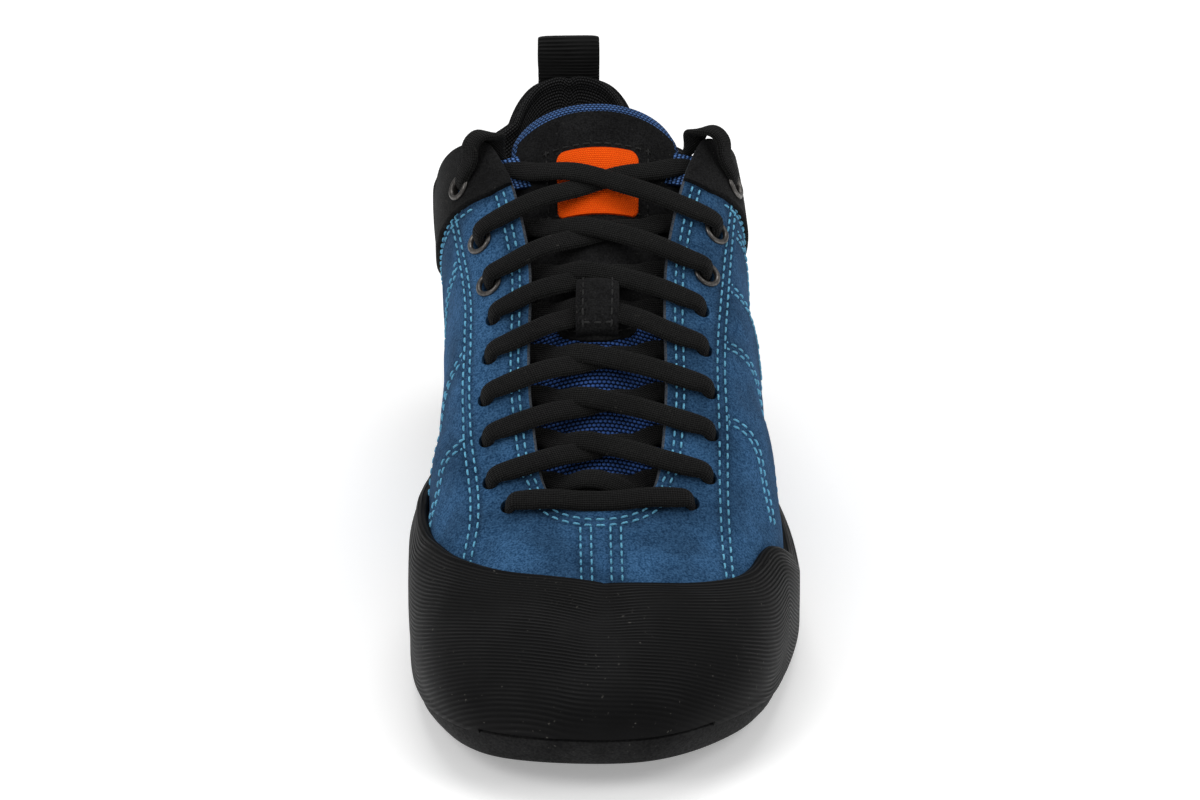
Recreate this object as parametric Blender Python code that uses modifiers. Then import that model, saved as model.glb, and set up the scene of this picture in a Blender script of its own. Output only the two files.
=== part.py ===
"""Left approach shoe, standing empty on its sole, as an assembly of named pieces.

The toe points to -Y, the shoe's medial side to -X, and Z is up. The origin is on the floor, at the
middle of the shoe's length. One last function gives the outer face of the upper. It is a ring of
ribs, one for each place along the sole's edge, and each rib climbs from the feather edge to the
ridge over the foot. Every piece of the upper is a stretch of those ribs, set in or out from them.
"""

import math
from collections import namedtuple
from functools import lru_cache

import bmesh
import bpy
import numpy as np
from mathutils import Matrix, Vector

# Driving dimensions of the last and the sole, in metres
SOLE_LENGTH = 0.298
BALL_WIDTH = 0.1055
INSTEP_HEIGHT = 0.136
HEEL_STACK = 0.0285
FOREFOOT_STACK = 0.0135
TOE_STACK = 0.0105
TOE_SPRING = 0.0072
ARCH_RISE = 0.0022
ARCH_MIDDLE = 0.60
ARCH_REACH = 0.13
HEEL_BEVEL = 0.0025

# Sole
WELT = 0.0032
OUTSOLE_THICK = 0.0068
TOE_LIP_THICK = 0.0095
SOLE_LIP = 0.0004
SOLE_FLARE = 0.0026
TOE_FLARE = 0.0050
EDGE_BEVEL = 0.0012
EDGING_ZONE = 0.040
EDGING_STEP = 0.004
STUD_HEIGHT = 0.0022
STUD_RADIUS = 0.0050
STUD_DRAFT = 0.0004
STUD_PITCH = 0.0215
STUD_MARGIN = 0.0045
STUD_ROOT = 0.0012
STUDS_ACROSS = 5
MIDSOLE_TUCK = 0.0012
MIDSOLE_GROOVE = 0.0009
INSOLE_THICK = 0.0042
INSOLE_CLEARANCE = 0.0010

# Upper and what is sewn or glued to it
WALL = 0.0024
RAND_THICK = 0.0024
COUNTER_THICK = 0.0018
BAND_THICK = 0.0012
BAND_TOP_MARGIN = 0.012
BAND_LEAST = 0.04
BAND_STEEP = 0.64
BAND_FINE = 3
LINING_THICK = 0.0075
LINING_EDGE = 0.0020
LINING_START = 0.64
LINING_PROUD = 0.02
LINING_DEPTH = 0.030
LINING_SKEW = 1.4
LINING_RUN_IN = 1.5
LINING_THINNER = 0.65
TONGUE_THICK = 0.0062
TONGUE_EDGE = 0.0022
TONGUE_SINK = 0.0074
TONGUE_FALL = 2.5
TONGUE_TOP = 0.596
PATCH_START = 0.535
PATCH_END = 0.590
PATCH_HALF = 0.104
PATCH_THICK = 0.0010
KEEPER_START = 0.4005
KEEPER_END = 0.447
KEEPER_HALF = 0.045
KEEPER_THICK = 0.0012
KEEPER_RISE = 0.0056
KEEPER_SQUARE = 0.5
KEEPER_STEPS = 7
GAP = 0.0003
SEAT = 0.00075

# Throat, collar and lacing
THROAT_START = 0.0600
THROAT_END_RADIUS = 0.0090
COLLAR_START = 0.50
FIRST_RING_ROW = 6
HOLE_RADIUS = 0.0024
RING_RADIUS = 0.0034
RING_WIRE = 0.0007
RING_BED = 0.0002
LACE_WIDTH = 0.0062
LACE_THICK = 0.0022
LACE_LIFT = 0.0005
LACE_OVER = 0.0017
LACE_CLEAR = 0.0004
LACE_FLAT = 0.6
UNDER_CLEAR = 0.0009
UNDER_START = 0.034
INNER_REACH = 0.030
LACE_END_STEPS = 13

# Pull loop at the heel
LOOP_WIDTH = 0.0188
LOOP_THICK = 0.0016
LOOP_RISE = 0.0125
LOOP_SEWN = 0.12
LOOP_STEPS = 11

# Mesh density and precision
UPPER_STEP = 0.56
RIB_STEPS = 9
SLIVER = 0.012
SHORT_STEP = 0.12
THROAT_SHARES = (0.18, 0.5)
TONGUE_STEPS = 13
TONGUE_ACROSS = 9
STUD_SIDES = 8
HOLE_SIDES = 6
RING_SEGMENTS = 10
RING_SIDES = 4
LACE_SIDES = 6
BAR_STEPS = 7
HALVINGS = 22
WELD = 0.00002
NEAR_RIDGE = 0.97
SHARP_ANGLE = 38
RIDGE_CLEAR = 0.012

Row = namedtuple("Row", "along lateral medial lean_lateral lean_medial rise over")

# The sole's edge, one row for each place from the toe's tip to the heel's back.
# along is a share of the length, lateral and medial are half widths as shares of the ball's width,
# and lean, rise and over shape the rib that starts there.
LAST_ROWS = (
    Row(0.000, 0.000, 0.000, 0.024, 0.024, 0.50, 0.56),
    Row(0.012, 0.160, 0.225, 0.024, 0.024, 0.50, 0.58),
    Row(0.047, 0.286, 0.366, 0.026, 0.026, 0.51, 0.66),
    Row(0.107, 0.392, 0.434, 0.028, 0.028, 0.54, 0.76),
    Row(0.185, 0.456, 0.466, 0.022, 0.024, 0.59, 0.86),
    Row(0.268, 0.508, 0.474, 0.006, 0.016, 0.64, 0.94),
    Row(0.352, 0.526, 0.456, -0.018, 0.026, 0.65, 0.97),
    Row(0.436, 0.512, 0.406, -0.026, 0.062, 0.67, 0.99),
    Row(0.520, 0.465, 0.352, 0.018, 0.135, 0.80, 1.08),
    Row(0.604, 0.417, 0.324, 0.085, 0.195, 0.88, 1.15),
    Row(0.688, 0.384, 0.322, 0.135, 0.200, 0.78, 1.13),
    Row(0.772, 0.371, 0.335, 0.165, 0.190, 0.62, 1.08),
    Row(0.856, 0.366, 0.347, 0.150, 0.150, 0.50, 0.98),
    Row(0.930, 0.327, 0.316, 0.095, 0.095, 0.44, 0.80),
    Row(0.980, 0.194, 0.190, 0.064, 0.064, 0.42, 0.66),
    Row(1.000, 0.000, 0.000, 0.057, 0.057, 0.42, 0.62),
)

# The ridge over the foot: place along the length, side shift as a share of the ball's width, and
# height as a share of the instep height.
RidgeRow = namedtuple("RidgeRow", "along shift height")
RIDGE_ROWS = (
    RidgeRow(0.040, -0.012, 0.228),
    RidgeRow(0.100, -0.009, 0.300),
    RidgeRow(0.150, -0.006, 0.343),
    RidgeRow(0.201, -0.002, 0.385),
    RidgeRow(0.245, 0.002, 0.433),
    RidgeRow(0.279, 0.005, 0.480),
    RidgeRow(0.322, 0.007, 0.545),
    RidgeRow(0.366, 0.010, 0.612),
    RidgeRow(0.406, 0.016, 0.670),
    RidgeRow(0.443, 0.022, 0.724),
    RidgeRow(0.490, 0.028, 0.788),
    RidgeRow(0.560, 0.033, 0.876),
    RidgeRow(0.600, 0.030, 0.922),
    RidgeRow(0.640, 0.026, 0.960),
    RidgeRow(0.700, 0.018, 0.990),
    RidgeRow(0.780, 0.010, 1.000),
    RidgeRow(0.860, 0.004, 0.996),
)
RIDGE_FRONT = 0.067
RIDGE_FRONT_BLEND = 0.081
RIDGE_BACK = 0.839
RIDGE_BACK_BLEND = 0.087

# Half width of the throat, and the height of the collar's edge on each side
ThroatRow = namedtuple("ThroatRow", "along half")
THROAT_ROWS = (
    ThroatRow(0.200, 0.105),
    ThroatRow(0.222, 0.130),
    ThroatRow(0.245, 0.150),
    ThroatRow(0.279, 0.165),
    ThroatRow(0.322, 0.176),
    ThroatRow(0.406, 0.176),
    ThroatRow(0.443, 0.181),
    ThroatRow(0.490, 0.204),
    ThroatRow(0.537, 0.238),
    ThroatRow(0.577, 0.280),
    ThroatRow(0.620, 0.300),
    ThroatRow(0.680, 0.310),
)
CollarRow = namedtuple("CollarRow", "along lateral medial")
COLLAR_ROWS = (
    CollarRow(0.560, 0.900, 0.900),
    CollarRow(0.577, 0.868, 0.868),
    CollarRow(0.604, 0.822, 0.826),
    CollarRow(0.638, 0.756, 0.764),
    CollarRow(0.671, 0.698, 0.708),
    CollarRow(0.705, 0.644, 0.656),
    CollarRow(0.750, 0.598, 0.612),
    CollarRow(0.810, 0.572, 0.586),
    CollarRow(0.870, 0.566, 0.576),
    CollarRow(0.930, 0.576, 0.582),
    CollarRow(0.980, 0.620, 0.620),
    CollarRow(0.995, 0.684, 0.684),
    CollarRow(1.000, 0.727, 0.727),
)
COLLAR_BLEND = 0.04
COLLAR_ONLY = 0.80

# The rand's top edge, as shares of the rib at each place along the sole's edge
RandRow = namedtuple("RandRow", "along lateral medial")
RAND_ROWS = (
    RandRow(0.000, 1.00, 1.00),
    RandRow(0.085, 1.00, 1.00),
    RandRow(0.107, 0.76, 0.88),
    RandRow(0.130, 0.60, 0.73),
    RandRow(0.160, 0.48, 0.60),
    RandRow(0.193, 0.42, 0.49),
    RandRow(0.220, 0.37, 0.42),
    RandRow(0.243, 0.27, 0.36),
    RandRow(0.276, 0.16, 0.30),
    RandRow(0.310, 0.09, 0.25),
    RandRow(0.360, 0.06, 0.20),
    RandRow(0.440, 0.05, 0.13),
    RandRow(0.548, 0.04, 0.07),
)
RAND_END = 0.548
RAND_OVER_TOE = 0.085
SKIRT_FADE = 0.38

# Height of the heel rand's top edge, as shares of the instep height
CounterRow = namedtuple("CounterRow", "along height")
COUNTER_ROWS = (
    CounterRow(0.700, 0.200),
    CounterRow(0.760, 0.235),
    CounterRow(0.840, 0.300),
    CounterRow(0.920, 0.360),
    CounterRow(1.000, 0.385),
)
COUNTER_START = 0.70
COUNTER_FOOT = 0.012

# Height of the black ankle panel's lower edge, as shares of the instep height
BandRow = namedtuple("BandRow", "along height")
BAND_ROWS = (
    BandRow(0.537, 0.810),
    BandRow(0.554, 0.765),
    BandRow(0.577, 0.700),
    BandRow(0.620, 0.588),
    BandRow(0.670, 0.515),
    BandRow(0.790, 0.434),
    BandRow(1.000, 0.420),
)
BAND_START = 0.548

# Tongue: half widths as shares of the ball's width, from its root under the vamp to its top, and
# how far its face stands up from its sides in the middle
TongueRow = namedtuple("TongueRow", "along half crown")
TONGUE_ROWS = (
    TongueRow(0.180, 0.100, 1.98),
    TongueRow(0.205, 0.120, 1.98),
    TongueRow(0.235, 0.165, 1.85),
    TongueRow(0.270, 0.210, 1.82),
    TongueRow(0.340, 0.240, 1.85),
    TongueRow(0.440, 0.262, 1.85),
    TongueRow(0.520, 0.268, 2.00),
    TongueRow(0.560, 0.252, 3.70),
    TongueRow(0.600, 0.235, 4.20),
)

# Route of a lace end: the places it passes on the last, and how far out from it
LaceEndRow = namedtuple("LaceEndRow", "along half out")
LACE_END_ROWS = (
    LaceEndRow(0.564, 0.313, 0.0037),
    LaceEndRow(0.571, 0.303, 0.0054),
    LaceEndRow(0.577, 0.286, 0.0052),
    LaceEndRow(0.581, 0.274, 0.0024),
    LaceEndRow(0.584, 0.270, -0.0020),
    LaceEndRow(0.586, 0.285, -0.0080),
    LaceEndRow(0.587, 0.310, -0.0140),
    LaceEndRow(0.588, 0.345, -0.0240),
)

# The lace holes, from the toe up
EyeletRow = namedtuple("EyeletRow", "along half")
EYELET_ROWS = (
    EyeletRow(0.221, 0.226),
    EyeletRow(0.250, 0.272),
    EyeletRow(0.290, 0.282),
    EyeletRow(0.328, 0.284),
    EyeletRow(0.366, 0.274),
    EyeletRow(0.404, 0.268),
    EyeletRow(0.441, 0.281),
    EyeletRow(0.490, 0.308),
    EyeletRow(0.558, 0.352),
)


def row_values(rows, column):
    """One named column of a table, as an array."""
    return np.array([getattr(row, column) for row in rows], float)


def curve_through(xs, ys):
    """A natural cubic curve through the points, as a function that holds its end values."""
    xs = np.asarray(xs, float)
    ys = np.asarray(ys, float)
    n = len(xs)
    steps = np.diff(xs)
    matrix = np.eye(n)
    right = np.zeros(n)
    for i in range(1, n - 1):
        matrix[i, i - 1] = steps[i - 1]
        matrix[i, i] = 2 * (steps[i - 1] + steps[i])
        matrix[i, i + 1] = steps[i]
        right[i] = 6 * ((ys[i + 1] - ys[i]) / steps[i] - (ys[i] - ys[i - 1]) / steps[i - 1])
    bend = np.linalg.solve(matrix, right)

    def value(x):
        x = float(np.clip(x, xs[0], xs[-1]))
        i = int(np.clip(np.searchsorted(xs, x) - 1, 0, n - 2))
        h = steps[i]
        a, b = (xs[i + 1] - x) / h, (x - xs[i]) / h
        cubic = ((a**3 - a) * bend[i] + (b**3 - b) * bend[i + 1]) * h * h / 6
        return a * ys[i] + b * ys[i + 1] + cubic

    return value


def ring_curve(values):
    """A closed cubic curve through values spaced one apart, as a function of the place."""
    values = np.asarray(values, float)
    n = len(values)
    matrix = 4 * np.eye(n) + np.roll(np.eye(n), 1, axis=1) + np.roll(np.eye(n), -1, axis=1)
    right = 6 * (np.roll(values, -1) - 2 * values + np.roll(values, 1))
    bend = np.linalg.solve(matrix, right)

    def value(place):
        whole = int(math.floor(place))
        b = place - whole
        a = 1 - b
        i = whole % n
        j = (i + 1) % n
        cubic = ((a**3 - a) * bend[i] + (b**3 - b) * bend[j]) / 6
        return a * values[i] + b * values[j] + cubic

    return value


LAST_PLACES = len(LAST_ROWS) - 1


def around(lateral, medial, medial_sign=1):
    """A ring curve from a lateral and a medial column of the last's table."""
    out = row_values(LAST_ROWS, lateral)
    back = medial_sign * row_values(LAST_ROWS, medial)[-2:0:-1]
    return ring_curve(np.concatenate([out, back]))


def along_curve(rows, column):
    """One column of a table as a curve over the length."""
    return curve_through(row_values(rows, "along"), row_values(rows, column))


def by_side(rows):
    """A table's lateral and medial columns as curves over the length, by side."""
    return {1: along_curve(rows, "lateral"), -1: along_curve(rows, "medial")}


EDGE_X = around("lateral", "medial", -1)
EDGE_Y = around("along", "along")
LEAN = around("lean_lateral", "lean_medial")
RISE = around("rise", "rise")
OVER = around("over", "over")
RIDGE_SHIFT = along_curve(RIDGE_ROWS, "shift")
RIDGE_HEIGHT = along_curve(RIDGE_ROWS, "height")
THROAT_HALF = along_curve(THROAT_ROWS, "half")
TONGUE_HALF = along_curve(TONGUE_ROWS, "half")
TONGUE_CROWN = along_curve(TONGUE_ROWS, "crown")
COUNTER_TOP = along_curve(COUNTER_ROWS, "height")
BAND_BOTTOM = along_curve(BAND_ROWS, "height")
COLLAR_HEIGHT = by_side(COLLAR_ROWS)
RAND_TOP = by_side(RAND_ROWS)


def smooth_step(low, high, x):
    """0 below low, 1 above high, and an even curve between."""
    t = min(max((x - low) / (high - low), 0.0), 1.0)
    return t * t * (3 - 2 * t)


def tread_level(y):
    """Height of the tread above the floor: toe spring, arch and heel bevel. y runs from the toe."""
    share = y / SOLE_LENGTH
    toe = TOE_SPRING * (1 - smooth_step(0.0, 0.24, share)) ** 1.4
    middle = abs(share - ARCH_MIDDLE) / ARCH_REACH
    arch = ARCH_RISE * max(0.0, 1 - middle * middle) ** 2
    heel = HEEL_BEVEL * smooth_step(0.955, 1.0, share)
    return toe + arch + heel


def feather_level(y):
    """Height of the feather edge, where the upper meets the top of the sole."""
    share = y / SOLE_LENGTH
    front = TOE_STACK + (FOREFOOT_STACK - TOE_STACK) * smooth_step(0.02, 0.30, share)
    rear = (HEEL_STACK - FOREFOOT_STACK) * smooth_step(0.34, 0.92, share)
    toe = TOE_SPRING * (1 - smooth_step(0.0, 0.26, share)) ** 1.2
    return front + rear + toe


def outsole_level(y):
    """Height of the outsole's top, where the midsole or the toe rand sits on it."""
    lip = (TOE_LIP_THICK - OUTSOLE_THICK) * (1 - smooth_step(0.05, 0.22, y / SOLE_LENGTH))
    return tread_level(y) + OUTSOLE_THICK + lip


def slab_level(y):
    """Height of the outsole's underside between the studs, and of its smooth edging zone."""
    return tread_level(y) + STUD_HEIGHT * smooth_step(EDGING_ZONE, EDGING_ZONE + EDGING_STEP, y)


def edge_point(place, outward=0.0):
    """A point of the sole's outline in plan, moved outward by a distance. y runs from the toe."""
    step = 0.02
    x = EDGE_X(place) * BALL_WIDTH
    y = EDGE_Y(place) * SOLE_LENGTH
    dx = (EDGE_X(place + step) - EDGE_X(place - step)) * BALL_WIDTH
    dy = (EDGE_Y(place + step) - EDGE_Y(place - step)) * SOLE_LENGTH
    size = math.hypot(dx, dy)
    return np.array([x + outward * dy / size, y - outward * dx / size])


def ridge_point(y):
    """A point of the ridge, and its slope along the length."""
    share = y / SOLE_LENGTH
    step = 0.004
    rise = RIDGE_HEIGHT(share + step) - RIDGE_HEIGHT(share - step)
    slope = rise * INSTEP_HEIGHT / (2 * step * SOLE_LENGTH)
    point = np.array([RIDGE_SHIFT(share) * BALL_WIDTH, y, RIDGE_HEIGHT(share) * INSTEP_HEIGHT])
    return point, slope


def soft_limit(x, limit, blend, sign):
    """The larger (sign 1) or smaller (sign -1) of x and limit, with a rounded change."""
    return 0.5 * (x + limit + sign * math.sqrt((x - limit) ** 2 + blend**2))


def ridge_reach(place):
    """How far along the length the rib from this place meets the ridge."""
    share = soft_limit(EDGE_Y(place), RIDGE_FRONT, RIDGE_FRONT_BLEND, 1)
    return soft_limit(share, RIDGE_BACK, RIDGE_BACK_BLEND, -1) * SOLE_LENGTH


@lru_cache(maxsize=None)
def rib_handles(place):
    """The four points of the rib's cubic curve."""
    foot = edge_point(place, -WELT)
    base = np.array([foot[0], foot[1], feather_level(foot[1])])
    top, slope = ridge_point(ridge_reach(place))
    out = base[:2] - top[:2]
    low = base.copy()
    low[:2] += out / np.linalg.norm(out) * LEAN(place) * BALL_WIDTH
    low[2] += RISE(place) * (top[2] - base[2])
    high = top.copy()
    high[:2] += out * OVER(place)
    high[2] += slope * (high[1] - top[1])
    return base, low, high, top


def rib_point(place, share):
    """A point of the last: share 0 is the feather edge and 1 the ridge."""
    base, low, high, top = rib_handles(place)
    a = 1 - share
    return a**3 * base + 3 * a * a * share * low + 3 * a * share**2 * high + share**3 * top


def last_normal(place, share):
    """The outward direction of the last there."""
    if share >= 1.0:
        both = last_normal(place, NEAR_RIDGE) + last_normal(2 * LAST_PLACES - place, NEAR_RIDGE)
        return both / np.linalg.norm(both)
    share = min(max(share, 0.01), NEAR_RIDGE)
    step = 0.03
    along = rib_point(place + step, share) - rib_point(place - step, share)
    up = rib_point(place, share + 0.01) - rib_point(place, share - 0.01)
    normal = np.cross(along, up)
    return normal / np.linalg.norm(normal)


def last_point(place, share, out=0.0):
    """A point set out from the last by a distance."""
    return rib_point(place, share) + last_normal(place, share) * out


def share_where(place, test):
    """The share of the rib at which test first turns true, by halving."""
    if not test(rib_point(place, 1.0)):
        return 1.0
    low, high = 0.0, 1.0
    for _ in range(HALVINGS):
        middle = 0.5 * (low + high)
        if test(rib_point(place, middle)):
            high = middle
        else:
            low = middle
    return high


def place_where(reach, y, side):
    """The place on one side at which reach, a length from the toe, comes to y."""
    low, high = 0.0, float(LAST_PLACES)
    for _ in range(HALVINGS):
        middle = 0.5 * (low + high)
        if reach(middle) < y:
            low = middle
        else:
            high = middle
    place = 0.5 * (low + high)
    return place if side > 0 else 2 * LAST_PLACES - place


def edge_reach(place):
    """How far along the length the sole's edge is at this place."""
    return EDGE_Y(place) * SOLE_LENGTH


def side_of(place):
    """1 on the lateral side and -1 on the medial side."""
    return 1 if place <= LAST_PLACES else -1


def throat_half(y):
    """Half width of the throat's opening at a place along the ridge."""
    past = (y - THROAT_START) / THROAT_END_RADIUS
    if past <= 0:
        return 0.0
    ease = math.sqrt(1 - (1 - min(past, 1.0)) ** 2)
    return THROAT_HALF(y / SOLE_LENGTH) * BALL_WIDTH * ease


def from_ridge(point):
    """How far to the side a point is from the ridge."""
    return abs(point[0] - RIDGE_SHIFT(point[1] / SOLE_LENGTH) * BALL_WIDTH)


@lru_cache(maxsize=None)
def upper_edge(place):
    """Share of the rib at which the upper ends: ridge, throat edge or collar edge."""
    middle = ridge_reach(place)
    half = throat_half(middle)
    if half <= 0:
        return 1.0
    throat = share_where(place, lambda p: from_ridge(p) <= throat_half(p[1]))
    if middle < COLLAR_START * SOLE_LENGTH:
        return throat
    height = COLLAR_HEIGHT[side_of(place)](EDGE_Y(place)) * INSTEP_HEIGHT
    collar = share_where(place, lambda p: p[2] >= height)
    if EDGE_Y(place) > COLLAR_ONLY:
        return collar
    return soft_limit(throat, collar, COLLAR_BLEND, -1)


def spread(start, end, count):
    """Evenly spaced values between two, both included."""
    return [start + (end - start) * i / (count - 1) for i in range(count)]


SIDE_SHIFT = 0.5 * BALL_WIDTH * (max(row_values(LAST_ROWS, "lateral")) - max(row_values(LAST_ROWS, "medial")))


def in_frame(point):
    """A point of the last, moved to the part's own frame."""
    return (point[0] - SIDE_SHIFT, point[1] - 0.5 * SOLE_LENGTH, point[2])


def material(name, colour, roughness, metallic=0.0):
    """A plain Principled material."""
    made = bpy.data.materials.new(name)
    made.use_nodes = True
    shader = made.node_tree.nodes["Principled BSDF"]
    shader.inputs["Base Color"].default_value = (*colour, 1.0)
    shader.inputs["Roughness"].default_value = roughness
    shader.inputs["Metallic"].default_value = metallic
    return made


def clear_scene():
    """Removes the startup objects."""
    for obj in list(bpy.data.objects):
        bpy.data.objects.remove(obj)


def new_collection(name):
    """A collection linked to the scene."""
    made = bpy.data.collections.new(name)
    bpy.context.scene.collection.children.link(made)
    return made


def mesh_from(name, points, faces):
    """A mesh in the part's frame, with coincident points made one."""
    mesh = bpy.data.meshes.new(name)
    mesh.from_pydata([in_frame(p) for p in points], [], faces)
    shape = bmesh.new()
    shape.from_mesh(mesh)
    bmesh.ops.remove_doubles(shape, verts=shape.verts, dist=WELD)
    bmesh.ops.dissolve_degenerate(shape, edges=shape.edges, dist=WELD)
    shape.to_mesh(mesh)
    shape.free()
    return mesh


def add_object(name, mesh, finish, collection):
    """Links a mesh object with one material."""
    obj = bpy.data.objects.new(name, mesh)
    collection.objects.link(obj)
    mesh.materials.append(finish)
    mesh.shade_smooth()
    mesh.set_sharp_from_angle(angle=math.radians(SHARP_ANGLE))
    return obj


def grid_faces(rows, columns, closed=False):
    """Quads over a grid of points. A closed grid joins its last row to its first."""
    faces = []
    for i in range(rows if closed else rows - 1):
        a, b = i * columns, ((i + 1) % rows) * columns
        faces += [(a + j, b + j, b + j + 1, a + j + 1) for j in range(columns - 1)]
    return faces


def shell(name, grid, thick, outward, finish, collection, closed=False):
    """An open surface through a grid of points, made solid outward or inward."""
    points = [p for row in grid for p in row]
    mesh = mesh_from(name, points, grid_faces(len(grid), len(grid[0]), closed))
    obj = add_object(name, mesh, finish, collection)
    solid = obj.modifiers.new("wall", "SOLIDIFY")
    solid.thickness = thick
    solid.offset = 1.0 if outward else -1.0
    return obj


def pad(name, outer, inner, finish, collection):
    """A solid between two grids of points with the same layout, closed round its rim."""
    rows, columns = len(outer), len(outer[0])
    points = [p for row in outer for p in row] + [p for row in inner for p in row]
    under = rows * columns
    faces = grid_faces(rows, columns)
    faces += [tuple(under + k for k in reversed(face)) for face in faces]
    last = (rows - 1) * columns
    for i in range(rows - 1):
        a, b = i * columns, (i + 1) * columns
        faces.append((b, a, under + a, under + b))
        end = columns - 1
        faces.append((a + end, b + end, under + b + end, under + a + end))
    for j in range(columns - 1):
        faces.append((j, j + 1, under + j + 1, under + j))
        faces.append((last + j + 1, last + j, under + last + j, under + last + j + 1))
    return add_object(name, mesh_from(name, points, faces), finish, collection)


def slab(name, rings, finish, collection):
    """A solid from rings of points, bottom first, that its two ends close from side to side."""
    count = len(rings[0])
    points = [p for ring in rings for p in ring]
    faces = []
    for level in range(len(rings) - 1):
        a, b = level * count, (level + 1) * count
        for i in range(count):
            j = (i + 1) % count
            faces.append((a + i, a + j, b + j, b + i))
    top = (len(rings) - 1) * count
    for i in range(count // 2):
        right, right_next = i, i + 1
        left, left_next = (count - i) % count, count - i - 1
        faces.append((right_next, right, left, left_next))
        faces.append((top + right, top + right_next, top + left_next, top + left))
    clean = [tuple(dict.fromkeys(face)) for face in faces]
    solid = [face for face in clean if len(face) > 2]
    return add_object(name, mesh_from(name, points, solid), finish, collection)


def ring_places(start, end, step):
    """Places from start to end, a step apart or a little less."""
    return spread(start, end, 1 + math.ceil((end - start) / step))


@lru_cache(maxsize=None)
def lateral_places():
    """Places along the upper's lateral side, closer together at the foot of the throat."""
    start = place_where(ridge_reach, THROAT_START, 1)
    panel = place_where(edge_reach, BAND_START * SOLE_LENGTH, 1)
    heel = place_where(edge_reach, COUNTER_START * SOLE_LENGTH, 1)
    places = ring_places(0.0, start, UPPER_STEP)
    places += [start + UPPER_STEP * share for share in THROAT_SHARES]
    places += ring_places(start + UPPER_STEP, panel, UPPER_STEP)
    places += ring_places(panel, heel, UPPER_STEP)[1:]
    return places + ring_places(heel, LAST_PLACES, UPPER_STEP)[1:]


@lru_cache(maxsize=None)
def upper_places():
    """Places round the shoe, alike on both sides."""
    lateral = lateral_places()
    return lateral + [2 * LAST_PLACES - place for place in lateral[-2:0:-1]]


def cut(obj, cutter):
    """Cuts the cutter's shape out of an object."""
    hole = obj.modifiers.new("holes", "BOOLEAN")
    hole.operation = "DIFFERENCE"
    hole.object = cutter
    hole.solver = "EXACT"


def hidden_tool(name, mesh, collection):
    """A mesh used only to cut or to join, kept out of the render."""
    obj = bpy.data.objects.new(name, mesh)
    collection.objects.link(obj)
    obj.hide_render = True
    obj.display_type = "WIRE"
    return obj


def join_with(obj, other):
    """Fuses another shape into an object."""
    union = obj.modifiers.new("studs", "BOOLEAN")
    union.operation = "UNION"
    union.object = other
    union.solver = "EXACT"


def along_axis(point, direction):
    """The matrix that stands a primitive's Z axis along a direction at a point of the last."""
    turn = Vector(direction).to_track_quat("Z", "Y").to_matrix().to_4x4()
    return Matrix.Translation(Vector(in_frame(point))) @ turn


def sole_ring(places, tuck, level):
    """A ring of points a distance in from the sole's edge, at a height worked out from y."""
    ring = []
    for place in places:
        x, y = edge_point(place, -tuck(place))
        ring.append(np.array([x, y, level(y)]))
    return ring


def edge_tuck(place):
    """How far the outsole's underside lies inside its top edge."""
    share = EDGE_Y(place)
    return SOLE_FLARE + (TOE_FLARE - SOLE_FLARE) * (1 - smooth_step(0.05, 0.30, share))


def make_outsole(finish, collection, tools):
    """Rubber outsole: a smooth edging zone at the toe, round studs behind it, a flared edge."""
    places = upper_places()
    rings = [
        sole_ring(places, lambda p: edge_tuck(p) + EDGE_BEVEL, slab_level),
        sole_ring(places, edge_tuck, lambda y: slab_level(y) + EDGE_BEVEL),
        sole_ring(places, lambda p: SOLE_LIP, lambda y: outsole_level(y) - SOLE_LIP),
        sole_ring(places, lambda p: SOLE_LIP, outsole_level),
    ]
    outsole = slab("outsole", rings, finish, collection)
    studs = bmesh.new()
    for x, y in stud_centres():
        low = tread_level(y)
        high = slab_level(y) + STUD_ROOT
        made = bmesh.ops.create_cone(
            studs,
            cap_ends=True,
            segments=STUD_SIDES,
            radius1=STUD_RADIUS,
            radius2=STUD_RADIUS + STUD_DRAFT,
            depth=high - low,
        )
        centre = Vector(in_frame((x, y, 0.5 * (low + high))))
        bmesh.ops.translate(studs, verts=made["verts"], vec=centre)
    mesh = bpy.data.meshes.new("stud_tool")
    studs.to_mesh(mesh)
    studs.free()
    join_with(outsole, hidden_tool("stud_tool", mesh, tools))
    return outsole


def half_width(y, side):
    """Half width of the sole's outline on one side."""
    place = place_where(edge_reach, y, side)
    return side * EDGE_X(place) * BALL_WIDTH


def stud_centres():
    """Centres of the studs, in rows across the sole that shift by half a pitch."""
    centres = []
    row_pitch = STUD_PITCH * math.sqrt(3) / 2
    first = EDGING_ZONE + EDGING_STEP + STUD_RADIUS
    rows = int((SOLE_LENGTH - STUD_RADIUS - STUD_MARGIN - first) / row_pitch) + 1
    for row in range(rows):
        y = first + row * row_pitch
        near = [half_width(y + turn * STUD_RADIUS, side) for side in (1, -1) for turn in (-1, 0, 1)]
        right, left = min(near[:3]), min(near[3:])
        shift = 0.5 * STUD_PITCH * (row % 2)
        room = STUD_MARGIN + STUD_RADIUS + STUD_DRAFT
        for k in range(-STUDS_ACROSS, STUDS_ACROSS + 1):
            x = k * STUD_PITCH + shift
            if -left + room <= x <= right - room:
                centres.append((x, y))
    return centres


def rand_cover(place):
    """1 where the rand covers the midsole's edge and 0 behind the rand."""
    return 1 - smooth_step(RAND_END + 0.01, RAND_END + 0.07, EDGE_Y(place))


def midsole_tuck(place):
    """How far the midsole's edge lies inside the sole's outline."""
    return MIDSOLE_TUCK + (WELT - MIDSOLE_TUCK) * rand_cover(place)


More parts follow.
